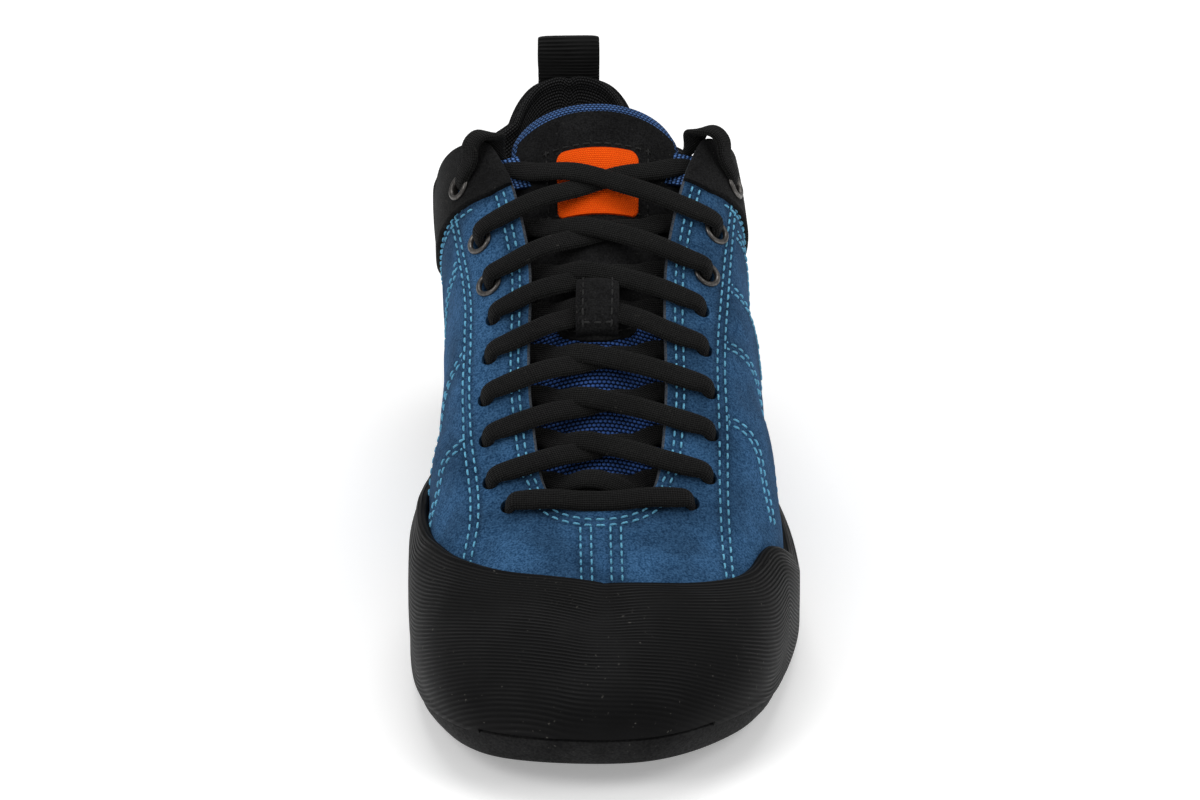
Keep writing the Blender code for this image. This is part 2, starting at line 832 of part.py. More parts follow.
def make_midsole(finish, collection):
    """Foam midsole with one groove round its bare side, seated between outsole and upper."""
    places = upper_places()

    def level(share):
        return lambda y: (1 - share) * (outsole_level(y) + GAP) + share * (feather_level(y) - GAP)

    def tuck(extra):
        return lambda place: midsole_tuck(place) + extra * (1 - rand_cover(place))

    rings = [
        sole_ring(places, tuck(0.0), level(0.0)),
        sole_ring(places, tuck(0.0), level(0.38)),
        sole_ring(places, tuck(MIDSOLE_GROOVE), level(0.46)),
        sole_ring(places, tuck(0.0), level(0.54)),
        sole_ring(places, tuck(MIDSOLE_GROOVE), level(1.0)),
    ]
    return slab("midsole", rings, finish, collection)


def make_insole(finish, collection):
    """Removable insole that fills the floor of the upper."""
    places = upper_places()

    def tuck(place):
        return WELT + WALL + INSOLE_CLEARANCE

    rings = [
        sole_ring(places, tuck, lambda y: feather_level(y) + GAP),
        sole_ring(places, tuck, lambda y: feather_level(y) + INSOLE_THICK),
    ]
    return slab("insole", rings, finish, collection)


def places_behind(start):
    """A lateral place, the upper's places behind it round the heel, and its medial match."""
    end = 2 * LAST_PLACES - start
    return [start] + [p for p in upper_places() if start + SHORT_STEP < p < end - SHORT_STEP] + [end]


def wall_shares(place, bottom, top):
    """The shares of the upper's own rows at this place, held between two shares."""
    held = []
    for row in spread(0.0, 1.0, RIB_STEPS):
        share = row * upper_edge(place)
        if share < bottom + SLIVER:
            share = bottom
        held.append(top if share > top - SLIVER else share)
    held[0] = bottom
    held[-1] = top
    return held


def wall_run(place, reach):
    """A point of the upper's faceted wall on one of its places. reach is 1 at the upper's edge."""
    run = reach * (RIB_STEPS - 1)
    row = min(max(int(run), 0), RIB_STEPS - 2)
    pitch = upper_edge(place) / (RIB_STEPS - 1)
    low, high = rib_point(place, row * pitch), rib_point(place, (row + 1) * pitch)
    return low + (run - row) * (high - low)


def wall_point(place, share, out):
    """A point set out from the upper's faceted wall, also between two of its places."""
    reach = share / upper_edge(place)
    places = upper_places() + [float(2 * LAST_PLACES)]
    after = next(i for i, other in enumerate(places) if other >= place)
    if places[after] == place:
        flat = wall_run(place, reach)
    else:
        before, behind = places[after - 1], places[after]
        t = (place - before) / (behind - before)
        flat = (1 - t) * wall_run(before, reach) + t * wall_run(behind, reach)
    return flat + last_normal(place, share) * out


def overlay_grid(places, bottom, top, out):
    """Points over a stretch of the upper's wall, on its own rows, set out from it."""
    return [
        [wall_point(place, share, out) for share in wall_shares(place, bottom(place), top(place))]
        for place in places
    ]


def make_upper(finish, collection, tools):
    """The upper: one hollow wall from the feather edge to the throat and the collar."""
    grid = [
        [last_point(place, share * upper_edge(place)) for share in spread(0.0, 1.0, RIB_STEPS)]
        for place in upper_places()
    ]
    upper = shell("upper", grid, WALL, False, finish, collection, closed=True)
    holes = bmesh.new()
    for index, row in enumerate(EYELET_ROWS):
        for side in (1, -1):
            place, share = eyelet_spot(row, side)
            made = bmesh.ops.create_cone(
                holes,
                cap_ends=True,
                segments=HOLE_SIDES,
                radius1=HOLE_RADIUS,
                radius2=HOLE_RADIUS,
                depth=4 * WALL,
            )
            stand = along_axis(last_point(place, share), last_normal(place, share))
            bmesh.ops.transform(holes, matrix=stand, verts=made["verts"])
    mesh = bpy.data.meshes.new("hole_tool")
    holes.to_mesh(mesh)
    holes.free()
    cut(upper, hidden_tool("hole_tool", mesh, tools))
    return upper


@lru_cache(maxsize=None)
def spot(along, half, side):
    """Place and share of the point of the last that is a given way along and to the side."""
    y = along * SOLE_LENGTH
    width = half * BALL_WIDTH
    low, high = 0.0, float(LAST_PLACES)
    share = 1.0
    for _ in range(HALVINGS):
        middle = 0.5 * (low + high)
        place = middle if side > 0 else 2 * LAST_PLACES - middle
        share = share_where(place, lambda p: from_ridge(p) <= width)
        if rib_point(place, share)[1] < y:
            low = middle
        else:
            high = middle
    return place, share


def eyelet_spot(row, side):
    """Place and share of one lace hole."""
    return spot(row.along, row.half, side)


def rand_top(place):
    """Share of the rib at which the rand ends."""
    if EDGE_Y(place) <= RAND_OVER_TOE:
        return 1.0
    return min(RAND_TOP[side_of(place)](EDGE_Y(place)), 1.0)


def skirt_bottom(place):
    """Height of the rand's lower edge: the outsole in front, the feather edge at its ends."""
    y = EDGE_Y(place) * SOLE_LENGTH
    fade = smooth_step(SKIRT_FADE, RAND_END, EDGE_Y(place))
    return (1 - fade) * (outsole_level(y) + GAP) + fade * (feather_level(y) - GAP)


def make_rand(finish, collection):
    """Rubber rand round the toe and the ball, from the outsole up the upper's side."""
    end = place_where(edge_reach, RAND_END * SOLE_LENGTH, 1)
    lateral = [place for place in lateral_places() if place < end - SHORT_STEP] + [end]
    places = [2 * LAST_PLACES - place for place in lateral[:0:-1]] + lateral
    grid = []
    for row in overlay_grid(places, lambda p: 0.0, rand_top, SEAT):
        grid.append([row[0].copy()] + row)
    for place, row in zip(places, grid):
        row[0][2] = skirt_bottom(place)
    return shell("toe_rand", grid, RAND_THICK, True, finish, collection)


def make_counter(finish, collection):
    """Rubber heel rand that wraps the back of the upper above the midsole."""
    start = place_where(edge_reach, COUNTER_START * SOLE_LENGTH, 1)

    def top(place):
        height = COUNTER_TOP(EDGE_Y(place)) * INSTEP_HEIGHT
        return share_where(place, lambda p: p[2] >= height)

    grid = overlay_grid(places_behind(start), lambda p: COUNTER_FOOT, top, SEAT)
    return shell("heel_rand", grid, COUNTER_THICK, True, finish, collection)


def make_collar_band(finish, collection, tools):
    """Black ankle panel sewn over the upper, from the top lace holes round the heel."""
    start = place_where(edge_reach, BAND_START * SOLE_LENGTH, 1)

    def top(place):
        return upper_edge(place) - BAND_TOP_MARGIN

    def bottom(place):
        low = share_where(place, lambda p: p[2] >= BAND_BOTTOM(p[1] / SOLE_LENGTH) * INSTEP_HEIGHT)
        return min(low, top(place) - BAND_LEAST)

    behind = places_behind(start)
    places = []
    for a, b in zip(behind, behind[1:]):
        count = BAND_FINE if max(EDGE_Y(a), EDGE_Y(b)) < BAND_STEEP else 1
        places += [a + (b - a) * i / count for i in range(count)]
    grid = overlay_grid(places + [behind[-1]], bottom, top, SEAT)
    band = shell("ankle_panel", grid, BAND_THICK, True, finish, collection)
    holes = bmesh.new()
    for side in (1, -1):
        place, share = eyelet_spot(EYELET_ROWS[-1], side)
        made = bmesh.ops.create_cone(
            holes,
            cap_ends=True,
            segments=HOLE_SIDES,
            radius1=HOLE_RADIUS,
            radius2=HOLE_RADIUS,
            depth=4 * WALL,
        )
        stand = along_axis(last_point(place, share), last_normal(place, share))
        bmesh.ops.transform(holes, matrix=stand, verts=made["verts"])
    mesh = bpy.data.meshes.new("band_hole_tool")
    holes.to_mesh(mesh)
    holes.free()
    cut(band, hidden_tool("band_hole_tool", mesh, tools))
    return band


def make_lining(finish, collection):
    """Padded collar lining, thickest just under the collar's edge."""
    start = place_where(edge_reach, LINING_START * SOLE_LENGTH, 1)
    outer, inner = [], []
    for place in places_behind(start):
        edge = upper_edge(place)
        level = rib_point(place, edge)[2] - LINING_DEPTH
        low = share_where(place, lambda p: p[2] >= level)
        top = edge + LINING_PROUD
        near = 1 - min(abs(place - start), abs(2 * LAST_PLACES - start - place)) / LINING_RUN_IN
        ends = 1 - LINING_THINNER * max(near, 0.0)
        outer_row, inner_row = [], []
        for share in wall_shares(place, low, edge) + [top]:
            swell = math.sin(math.pi * ((share - low) / (top - low)) ** LINING_SKEW)
            thick = LINING_EDGE + (LINING_THICK - LINING_EDGE) * swell * ends
            outer_row.append(wall_point(place, share, -WALL - SEAT))
            inner_row.append(wall_point(place, share, -WALL - SEAT - thick))
        outer.append(outer_row)
        inner.append(inner_row)
    return pad("collar_lining", outer, inner, finish, collection)


def tongue_out(y, across):
    """How far the tongue's face is set out from the last. across is 0 in the middle, 1 at a side."""
    crown = TONGUE_CROWN(y / SOLE_LENGTH) * LACE_THICK
    return -TONGUE_SINK + crown * max(0.0, 1 - across * across) ** TONGUE_FALL


def tongue_point(y, across, out):
    """A point set out from the tongue's face. across runs from -1, medial, to 1, lateral."""
    side = 1 if across >= 0 else -1
    half = TONGUE_HALF(y / SOLE_LENGTH)
    place, share = spot(y / SOLE_LENGTH, max(abs(across) * half, RIDGE_CLEAR), side)
    point = last_point(place, share, tongue_out(y, across) + out)
    if abs(across) * half < RIDGE_CLEAR:
        other, other_share = spot(y / SOLE_LENGTH, RIDGE_CLEAR, -side)
        point = 0.5 * (point + last_point(other, other_share, tongue_out(y, across) + out))
    return point


def make_tongue(finish, collection):
    """Padded tongue, from its root under the vamp to its free top."""
    ys = spread(TONGUE_ROWS[0].along * SOLE_LENGTH, TONGUE_TOP * SOLE_LENGTH, TONGUE_STEPS)
    outer, inner = [], []
    for step, y in enumerate(ys):
        taper = math.sin(0.5 * math.pi * min(1.0, (step + 1) / 2, (TONGUE_STEPS - step) / 2))
        outer_row, inner_row = [], []
        for across in spread(1.0, -1.0, TONGUE_ACROSS):
            swell = math.sqrt(max(0.0, 1 - across**4))
            thick = TONGUE_EDGE + (TONGUE_THICK - TONGUE_EDGE) * swell * taper
            outer_row.append(tongue_point(y, across, 0.0))
            inner_row.append(tongue_point(y, across, -thick))
        outer.append(outer_row)
        inner.append(inner_row)
    return pad("tongue", outer, inner, finish, collection)


def tongue_sheet(name, start, end, half, thick, finish, collection, steps=3):
    """A thin piece sewn on the tongue's face, between two places along it."""
    grid = []
    for y in spread(start * SOLE_LENGTH, end * SOLE_LENGTH, steps):
        reach = half / TONGUE_HALF(y / SOLE_LENGTH)
        grid.append([tongue_point(y, reach * t, GAP) for t in (1.0, 0.5, 0.0, -0.5, -1.0)])
    return shell(name, grid, thick, True, finish, collection)


def make_keeper(finish, collection):
    """Small strap arched over the tongue, which holds the crossed laces."""
    middle = spread(KEEPER_START * SOLE_LENGTH, KEEPER_END * SOLE_LENGTH, KEEPER_STEPS)
    grid = []
    for step, y in enumerate(middle):
        rise = KEEPER_RISE * math.sin(math.pi * step / (KEEPER_STEPS - 1)) ** KEEPER_SQUARE
        reach = KEEPER_HALF / TONGUE_HALF(y / SOLE_LENGTH)
        grid.append([tongue_point(y, reach * t, GAP + rise) for t in (1.0, 0.0, -1.0)])
    return shell("lace_keeper", grid, KEEPER_THICK, True, finish, collection)


def ring_object(name, row, side, finish, collection):
    """One metal eyelet ring, set on the face round its lace hole."""
    place, share = eyelet_spot(row, side)
    in_band = row == EYELET_ROWS[-1]
    stand_off = GAP + RING_WIRE + RING_BED + (SEAT + BAND_THICK if in_band else 0.0)
    normal = last_normal(place, share)
    bpy.ops.mesh.primitive_torus_add(
        major_segments=RING_SEGMENTS,
        minor_segments=RING_SIDES,
        major_radius=RING_RADIUS,
        minor_radius=RING_WIRE,
    )
    ring = bpy.context.object
    ring.data.transform(along_axis(last_point(place, share, stand_off), normal))
    ring.name = name
    for owner in list(ring.users_collection):
        owner.objects.unlink(ring)
    collection.objects.link(ring)
    ring.data.materials.append(finish)
    ring.data.shade_smooth()
    return ring


def ribbon_mesh(name, centres, normals):
    """A flat oval cord through centres, with its thin way along the normals."""
    sections = []
    count = len(centres)
    for i, centre in enumerate(centres):
        ahead = centres[min(i + 1, count - 1)] - centres[max(i - 1, 0)]
        ahead = ahead / np.linalg.norm(ahead)
        across = np.cross(normals[i], ahead)
        across = across / np.linalg.norm(across)
        thin = np.cross(ahead, across)
        ring = []
        for k in range(LACE_SIDES):
            angle = 2 * math.pi * k / LACE_SIDES
            turn = math.cos(angle)
            wide = 0.5 * LACE_WIDTH * math.copysign(abs(turn) ** LACE_FLAT, turn)
            high = 0.5 * LACE_THICK * math.sin(angle) / math.sin(2 * math.pi / LACE_SIDES)
            ring.append(centre + across * wide + thin * high)
        sections.append(ring)
    points = [p for ring in sections for p in ring]
    faces = []
    for i in range(count - 1):
        a, b = i * LACE_SIDES, (i + 1) * LACE_SIDES
        for k in range(LACE_SIDES):
            j = (k + 1) % LACE_SIDES
            faces.append((a + k, a + j, b + j, b + k))
    end = (count - 1) * LACE_SIDES
    faces.append(tuple(range(LACE_SIDES - 1, -1, -1)))
    faces.append(tuple(end + k for k in range(LACE_SIDES)))
    mesh = mesh_from(name, points, faces)
    shape = bmesh.new()
    shape.from_mesh(mesh)
    bmesh.ops.recalc_face_normals(shape, faces=shape.faces)
    shape.to_mesh(mesh)
    shape.free()
    return mesh


def surface_frame(along, half, side):
    """A point of the last and its outward direction, a given way along and to the side."""
    place, share = spot(along, max(half, RIDGE_CLEAR), side)
    return rib_point(place, share), last_normal(place, share)


def hole_side(row):
    """How far to the side a strand starts: over a punched hole, or beside a metal ring."""
    if row in EYELET_ROWS[:FIRST_RING_ROW]:
        return row.half
    return row.half - (RING_RADIUS + RING_WIRE + GAP) / BALL_WIDTH


def lace_span(row, next_row, side, over, inner):
    """Centres and normals of one lace strand.

    It runs from a hole on one side, outside the upper, over the tongue and in under the far edge of
    the throat at the next row. over is the strand's extra height in the middle. An inner strand
    starts under the near edge as well.
    """
    half_lace = 0.5 * LACE_THICK
    top = half_lace + GAP
    under = -(WALL + UNDER_CLEAR + half_lace)
    cover = PATCH_THICK + 2 * GAP if next_row.along > PATCH_START else 0.0
    edge_a = THROAT_HALF(row.along)
    edge_b = THROAT_HALF(next_row.along)
    stations = [
        (edge_a + INNER_REACH, 0.0, under) if inner else (hole_side(row), 0.0, top + LACE_LIFT),
        (edge_a - UNDER_START, 0.13, under) if inner else (edge_a, 0.12, top + LACE_LIFT),
        (0.62 * edge_a, 0.26, None),
        (0.30 * edge_a, 0.38, None),
        (0.0, 0.5, None),
        (-0.30 * edge_b, 0.62, None),
        (-0.62 * edge_b, 0.74, None),
        (-(edge_b - UNDER_START), 0.90, under),
        (-(edge_b + INNER_REACH), 1.0, under),
    ]
    centres, normals = [], []
    for half, run, out in stations:
        along = row.along + (next_row.along - row.along) * run
        facing = side if half >= 0 else -side
        point, normal = surface_frame(along, abs(half), facing)
        if out is None:
            across = abs(half) / TONGUE_HALF(along)
            out = tongue_out(along * SOLE_LENGTH, across) + GAP + half_lace + LACE_CLEAR + cover
            out += over * max(0.0, 1 - (abs(half) / (0.7 * edge_b)) ** 2)
        centres.append(point + normal * out)
        normals.append(normal)
    return centres, normals


def make_crossing(name, index, finish, collection, tools):
    """Two strands crossed over the tongue between two rows of holes, joined where they cross."""
    row, next_row = EYELET_ROWS[index], EYELET_ROWS[index + 1]
    inner = index == 0
    first = ribbon_mesh(name, *lace_span(row, next_row, 1, LACE_OVER, inner))
    second = ribbon_mesh(name + "_tool", *lace_span(row, next_row, -1, 0.0, inner))
    crossing = add_object(name, first, finish, collection)
    join_with(crossing, hidden_tool(name + "_tool", second, tools))
    return crossing


def make_bar(finish, collection):
    """The straight lace bar between the two lowest holes, outside the upper."""
    row = EYELET_ROWS[0]
    out = 0.5 * LACE_THICK + GAP + LACE_LIFT
    centres, normals = [], []
    for half in spread(row.half, -row.half, BAR_STEPS):
        side = 1 if half >= 0 else -1
        point, normal = surface_frame(row.along, abs(half), side)
        if abs(half) < RIDGE_CLEAR:
            other, other_normal = surface_frame(row.along, RIDGE_CLEAR, -side)
            point, normal = 0.5 * (point + other), 0.5 * (normal + other_normal)
        centres.append(point + normal * out)
        normals.append(normal)
    return add_object("lace_bar", ribbon_mesh("lace_bar", centres, normals), finish, collection)


def surface_at(along, half, side, out):
    """A point set out from the last, a given way along and to the side, and its direction."""
    point, normal = surface_frame(along, half, side)
    return point + normal * out, normal


def smooth_path(points, count):
    """Points along a smooth curve through the given ones, evenly spaced."""
    points = [np.asarray(p, float) for p in points]
    gaps = [np.linalg.norm(b - a) for a, b in zip(points, points[1:])]
    knots = np.concatenate([[0.0], np.cumsum(gaps)])
    curves = [curve_through(knots, [p[k] for p in points]) for k in range(len(points[0]))]
    return [np.array([c(t) for c in curves]) for t in spread(0.0, knots[-1], count)]


def make_lace_end(name, side, finish, collection):
    """A lace end: out of the top hole, up over the padded collar and down beside the tongue."""
    guides = [surface_at(row.along, row.half, side, row.out) for row in LACE_END_ROWS]
    centres = smooth_path([point for point, _ in guides], LACE_END_STEPS)
    normals = smooth_path([normal for _, normal in guides], LACE_END_STEPS)
    return add_object(name, ribbon_mesh(name, centres, normals), finish, collection)


def make_pull_loop(finish, collection):
    """Webbing loop sewn to the back of the heel, standing above the collar."""
    heel = float(LAST_PLACES)
    top = upper_edge(heel)
    seat = SEAT + BAND_THICK + GAP + 0.5 * LOOP_THICK
    leg = [last_point(heel, share, seat) for share in spread(top - LOOP_SEWN, top, 4)]
    back, rear = leg[-1], last_point(heel, top, 0.0)
    peak = rear[2] + LOOP_RISE
    front = rear[1] - 0.5 * WALL
    arch = [
        np.array([0.0, back[1] + 0.0006, rear[2] + 0.35 * LOOP_RISE]),
        np.array([0.0, back[1], rear[2] + 0.75 * LOOP_RISE]),
        np.array([0.0, 0.5 * (back[1] + front), peak]),
        np.array([0.0, front - 0.0008, rear[2] + 0.75 * LOOP_RISE]),
        np.array([0.0, front - 0.0004, rear[2] + 0.35 * LOOP_RISE]),
        np.array([0.0, front, rear[2] + GAP + 0.0006]),
    ]
    path = smooth_path(leg + arch, LOOP_STEPS)
    widths = [0.5 * LOOP_WIDTH * t for t in (1.0, 0.0, -1.0)]
    grid = [[p + np.array([w, 0.0, 0.0]) for w in widths] for p in path]
    mesh = mesh_from("pull_loop", [p for row in grid for p in row], grid_faces(len(grid), 3))
    loop = add_object("pull_loop", mesh, finish, collection)
    solid = loop.modifiers.new("webbing", "SOLIDIFY")
    solid.thickness = LOOP_THICK
    solid.offset = 0.0
    return loop


def main():
    """Builds the shoe."""
    clear_scene()
    shoe = new_collection("approach_shoe")
    tools = new_collection("tools")
    suede = material("blue_suede", (0.026, 0.072, 0.150), 0.92)
    rubber = material("black_rubber", (0.009, 0.009, 0.009), 0.62)
    tread = material("tread_rubber", (0.014, 0.014, 0.015), 0.70)
    foam = material("black_foam", (0.012, 0.012, 0.013), 0.85)
    textile = material("black_textile", (0.010, 0.010, 0.010), 0.95)
    mesh_cloth = material("navy_mesh", (0.013, 0.031, 0.075), 0.90)
    orange = material("orange_weave", (0.90, 0.107, 0.005), 0.80)
    cord = material("black_cord", (0.009, 0.009, 0.009), 0.80)
    metal = material("gunmetal", (0.035, 0.035, 0.038), 0.38, 0.9)

    make_outsole(tread, shoe, tools)
    make_midsole(foam, shoe)
    make_insole(foam, shoe)
    make_upper(suede, shoe, tools)
    make_rand(rubber, shoe)
    make_counter(rubber, shoe)
    make_collar_band(textile, shoe, tools)
    make_lining(textile, shoe)
    make_tongue(mesh_cloth, shoe)
    tongue_sheet("tongue_patch", PATCH_START, PATCH_END, PATCH_HALF, PATCH_THICK, orange, shoe)
    make_keeper(textile, shoe)
    for index in range(FIRST_RING_ROW, len(EYELET_ROWS)):
        for side, word in ((1, "lateral"), (-1, "medial")):
            ring_object(f"eyelet_{index + 1}_{word}", EYELET_ROWS[index], side, metal, shoe)
    make_bar(cord, shoe)
    for index in range(len(EYELET_ROWS) - 1):
        make_crossing(f"lace_cross_{index + 1}", index, cord, shoe, tools)
    make_lace_end("lace_end_lateral", 1, cord, shoe)
    make_lace_end("lace_end_medial", -1, cord, shoe)
    make_pull_loop(textile, shoe)


if __name__ == "__main__":
    main()
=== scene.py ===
"""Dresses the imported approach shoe: suede upper, ribbed rubber rand, laces, mesh tongue and stitching."""

import logging
import math
from collections.abc import Callable, Iterator, Sequence
from contextlib import contextmanager
from dataclasses import dataclass
from enum import Enum

import bmesh
import bpy
import numpy as np
from mathutils import Matrix, Vector
from mathutils.bvhtree import BVHTree
from mathutils.kdtree import KDTree


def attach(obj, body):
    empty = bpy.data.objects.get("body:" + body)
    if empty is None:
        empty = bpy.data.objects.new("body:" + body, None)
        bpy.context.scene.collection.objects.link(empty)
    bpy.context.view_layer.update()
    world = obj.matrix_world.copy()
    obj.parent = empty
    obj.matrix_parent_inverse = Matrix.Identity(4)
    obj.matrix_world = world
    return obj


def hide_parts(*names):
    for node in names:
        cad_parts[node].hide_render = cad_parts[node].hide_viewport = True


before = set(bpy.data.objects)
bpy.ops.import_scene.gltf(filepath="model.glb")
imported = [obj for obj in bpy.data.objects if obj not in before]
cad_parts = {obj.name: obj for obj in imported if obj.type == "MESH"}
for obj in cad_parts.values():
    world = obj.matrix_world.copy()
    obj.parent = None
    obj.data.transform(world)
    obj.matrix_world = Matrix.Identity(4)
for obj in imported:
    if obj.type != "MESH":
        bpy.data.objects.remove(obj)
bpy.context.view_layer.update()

LOG = logging.getLogger("shoe")
Piece = bpy.types.Object
Mesh = bpy.types.Mesh
Socket = bpy.types.NodeSocket
Array = np.ndarray
Strand = tuple[Array, Array, Array]
Table = Sequence[Sequence[float]]
Test = Callable[[Array], Array]
Colour = tuple[float, float, float]

SOLE_LENGTH = 0.298
BALL_WIDTH = 0.1055
INSTEP_HEIGHT = 0.136
WALL = 0.0024
SEAT = 0.00075
GAP = 0.0003
SUNK = 0.0006
PLACES = 30
HEEL = 15.0
HALVINGS = 22
NEAR_RIDGE = 0.97
RIDGE_CLEAR = 0.012
LACE_WIDTH = 0.0062
LACE_THICK = 0.0022
HOLE_DEPTH = 0.012
SEAM_WIDTH = 0.0011
# How much the colour darkens along the blue seams: painted shade in the stitch troughs, with some dirt.
SEAM_PAINTED_SHADE_AND_DIRT = 0.38
SEAM_DEPTH = 1.4
DUST_COLOUR = (0.22, 0.21, 0.19, 1.0)
WHITE = (1.0, 1.0, 1.0, 1.0)
SHARP_ANGLE = 50.0
FULL_TURN = 2 * math.pi
SQUARE = ((-1, -1), (1, -1), (1, 1), (-1, 1))
BODY = "root"

# Along the sole, half widths, leans of the two sides, rise and over, as on the CAD last.
LAST_ROWS = (
    (0.000, 0.000, 0.000, 0.024, 0.024, 0.50, 0.56),
    (0.012, 0.160, 0.225, 0.024, 0.024, 0.50, 0.58),
    (0.047, 0.286, 0.366, 0.026, 0.026, 0.51, 0.66),
    (0.107, 0.392, 0.434, 0.028, 0.028, 0.54, 0.76),
    (0.185, 0.456, 0.466, 0.022, 0.024, 0.59, 0.86),
    (0.268, 0.508, 0.474, 0.006, 0.016, 0.64, 0.94),
    (0.352, 0.526, 0.456, -0.018, 0.026, 0.65, 0.97),
    (0.436, 0.512, 0.406, -0.026, 0.062, 0.67, 0.99),
    (0.520, 0.465, 0.352, 0.018, 0.135, 0.80, 1.08),
    (0.604, 0.417, 0.324, 0.085, 0.195, 0.88, 1.15),
    (0.688, 0.384, 0.322, 0.135, 0.200, 0.78, 1.13),
    (0.772, 0.371, 0.335, 0.165, 0.190, 0.62, 1.08),
    (0.856, 0.366, 0.347, 0.150, 0.150, 0.50, 0.98),
    (0.930, 0.327, 0.316, 0.095, 0.095, 0.44, 0.80),
    (0.980, 0.194, 0.190, 0.064, 0.064, 0.42, 0.66),
    (1.000, 0.000, 0.000, 0.057, 0.057, 0.42, 0.62),
)
# Along, sideways shift and height of the ridge.
RIDGE_ROWS = (
    (0.040, -0.012, 0.228), (0.100, -0.009, 0.300), (0.150, -0.006, 0.343), (0.201, -0.002, 0.385),
    (0.245, 0.002, 0.433), (0.279, 0.005, 0.480), (0.322, 0.007, 0.545), (0.366, 0.010, 0.612),
    (0.406, 0.016, 0.670), (0.443, 0.022, 0.724), (0.490, 0.028, 0.788), (0.560, 0.033, 0.876),
    (0.600, 0.030, 0.922), (0.640, 0.026, 0.960), (0.700, 0.018, 0.990), (0.780, 0.010, 1.000),
    (0.860, 0.004, 0.996),
)
# Along and half width of the throat.
THROAT_ROWS = (
    (0.200, 0.105), (0.222, 0.130), (0.245, 0.150), (0.279, 0.165), (0.322, 0.176), (0.406, 0.176),
    (0.443, 0.181), (0.490, 0.204), (0.537, 0.238), (0.577, 0.280), (0.620, 0.300), (0.680, 0.310),
)
# Along and the collar's height on the lateral and the medial side.
COLLAR_ROWS = (
    (0.560, 0.900, 0.900), (0.577, 0.868, 0.868), (0.604, 0.822, 0.826), (0.638, 0.756, 0.764),
    (0.671, 0.698, 0.708), (0.705, 0.644, 0.656), (0.750, 0.598, 0.612), (0.810, 0.572, 0.586),
    (0.870, 0.566, 0.576), (0.930, 0.576, 0.582), (0.980, 0.620, 0.620), (0.995, 0.684, 0.684),
    (1.000, 0.727, 0.727),
)
# Along and the rand's upper edge as a share of the rib, lateral and medial.
RAND_ROWS = (
    (0.000, 1.00, 1.00), (0.085, 1.00, 1.00), (0.107, 0.76, 0.88), (0.130, 0.60, 0.73),
    (0.160, 0.48, 0.60), (0.193, 0.42, 0.49), (0.220, 0.37, 0.42), (0.243, 0.27, 0.36),
    (0.276, 0.16, 0.30), (0.310, 0.09, 0.25), (0.360, 0.06, 0.20), (0.440, 0.05, 0.13),
    (0.548, 0.04, 0.07),
)
DOME_MIDDLE = 0.0010
DOME_REACH = 2.8
# Distance to the side of the heel's middle and height of the collar's raised back, in metres.
DOME_ROWS = (
    (0.000, 0.0984), (0.005, 0.0981), (0.009, 0.0971), (0.012, 0.0955), (0.015, 0.0922), (0.0175, 0.0875),
    (0.020, 0.0800), (0.024, 0.0680),
)
COUNTER_ROWS = ((0.700, 0.200), (0.760, 0.235), (0.840, 0.300), (0.920, 0.360), (1.000, 0.385))
BAND_ROWS = (
    (0.516, 0.810), (0.533, 0.765), (0.556, 0.700), (0.600, 0.588), (0.655, 0.515), (0.780, 0.434),
    (1.000, 0.420),
)
# Along, half width and crown of the tongue.
TONGUE_ROWS = (
    (0.180, 0.100, 1.98), (0.205, 0.120, 1.98), (0.235, 0.165, 1.85), (0.270, 0.210, 1.82),
    (0.340, 0.240, 1.85), (0.440, 0.262, 1.85), (0.520, 0.268, 2.00), (0.560, 0.252, 3.70),
    (0.600, 0.235, 4.20),
)
# Along, half and distance out of the free lace ends.
LACE_END_ROWS = (
    (0.564, 0.313, 0.0037), (0.571, 0.303, 0.0054), (0.577, 0.286, 0.0052), (0.581, 0.274, 0.0024),
    (0.584, 0.270, -0.0020), (0.586, 0.285, -0.0080), (0.587, 0.310, -0.0140), (0.588, 0.345, -0.0240),
)
# Along and half of the lace holes, from the toe up.
EYELET_ROWS = (
    (0.221, 0.226), (0.250, 0.272), (0.290, 0.282), (0.328, 0.284), (0.366, 0.274), (0.404, 0.268),
    (0.441, 0.281), (0.490, 0.308), (0.558, 0.352),
)
# Along and half of the long seams between eyestay and side panels.
LATERAL_SEAM = (
    (0.100, 0.350), (0.157, 0.336), (0.205, 0.327), (0.254, 0.326), (0.303, 0.330), (0.361, 0.332),
    (0.418, 0.340), (0.470, 0.352), (0.509, 0.363), (0.560, 0.380),
)
MEDIAL_SEAM = (
    (0.100, 0.360), (0.188, 0.344), (0.212, 0.331), (0.294, 0.345), (0.359, 0.349), (0.442, 0.351),
    (0.510, 0.378), (0.560, 0.400),
)


class Side(Enum):
    """The two sides of this left shoe."""

    LATERAL = 1
    MEDIAL = -1

    @property
    def word(self) -> str:
        """The side's name as used in the CAD nodes."""
        return self.name.lower()


def smooth_step(low: float, high: float, x: Array) -> Array:
    """Eases from 0 to 1.

    Args:
        low: Where the change starts.
        high: Where it ends.
        x: Where it is read.

    Returns:
        0 below low, 1 above high and an even curve between.
    """
    t = np.clip((np.asarray(x, float) - low) / (high - low), 0.0, 1.0)
    return t * t * (3 - 2 * t)


def together(*values: object) -> Sequence[Array]:
    """Values as float arrays of one shape."""
    return np.broadcast_arrays(*(np.asarray(value, float) for value in values))


def even(count: int) -> Array:
    """A number of even shares from 0 to 1."""
    return np.linspace(0.0, 1.0, count)


def unit(vectors: Array) -> Array:
    """Each vector divided by its length."""
    return vectors / np.maximum(np.linalg.norm(vectors, axis=-1, keepdims=True), 1e-12)


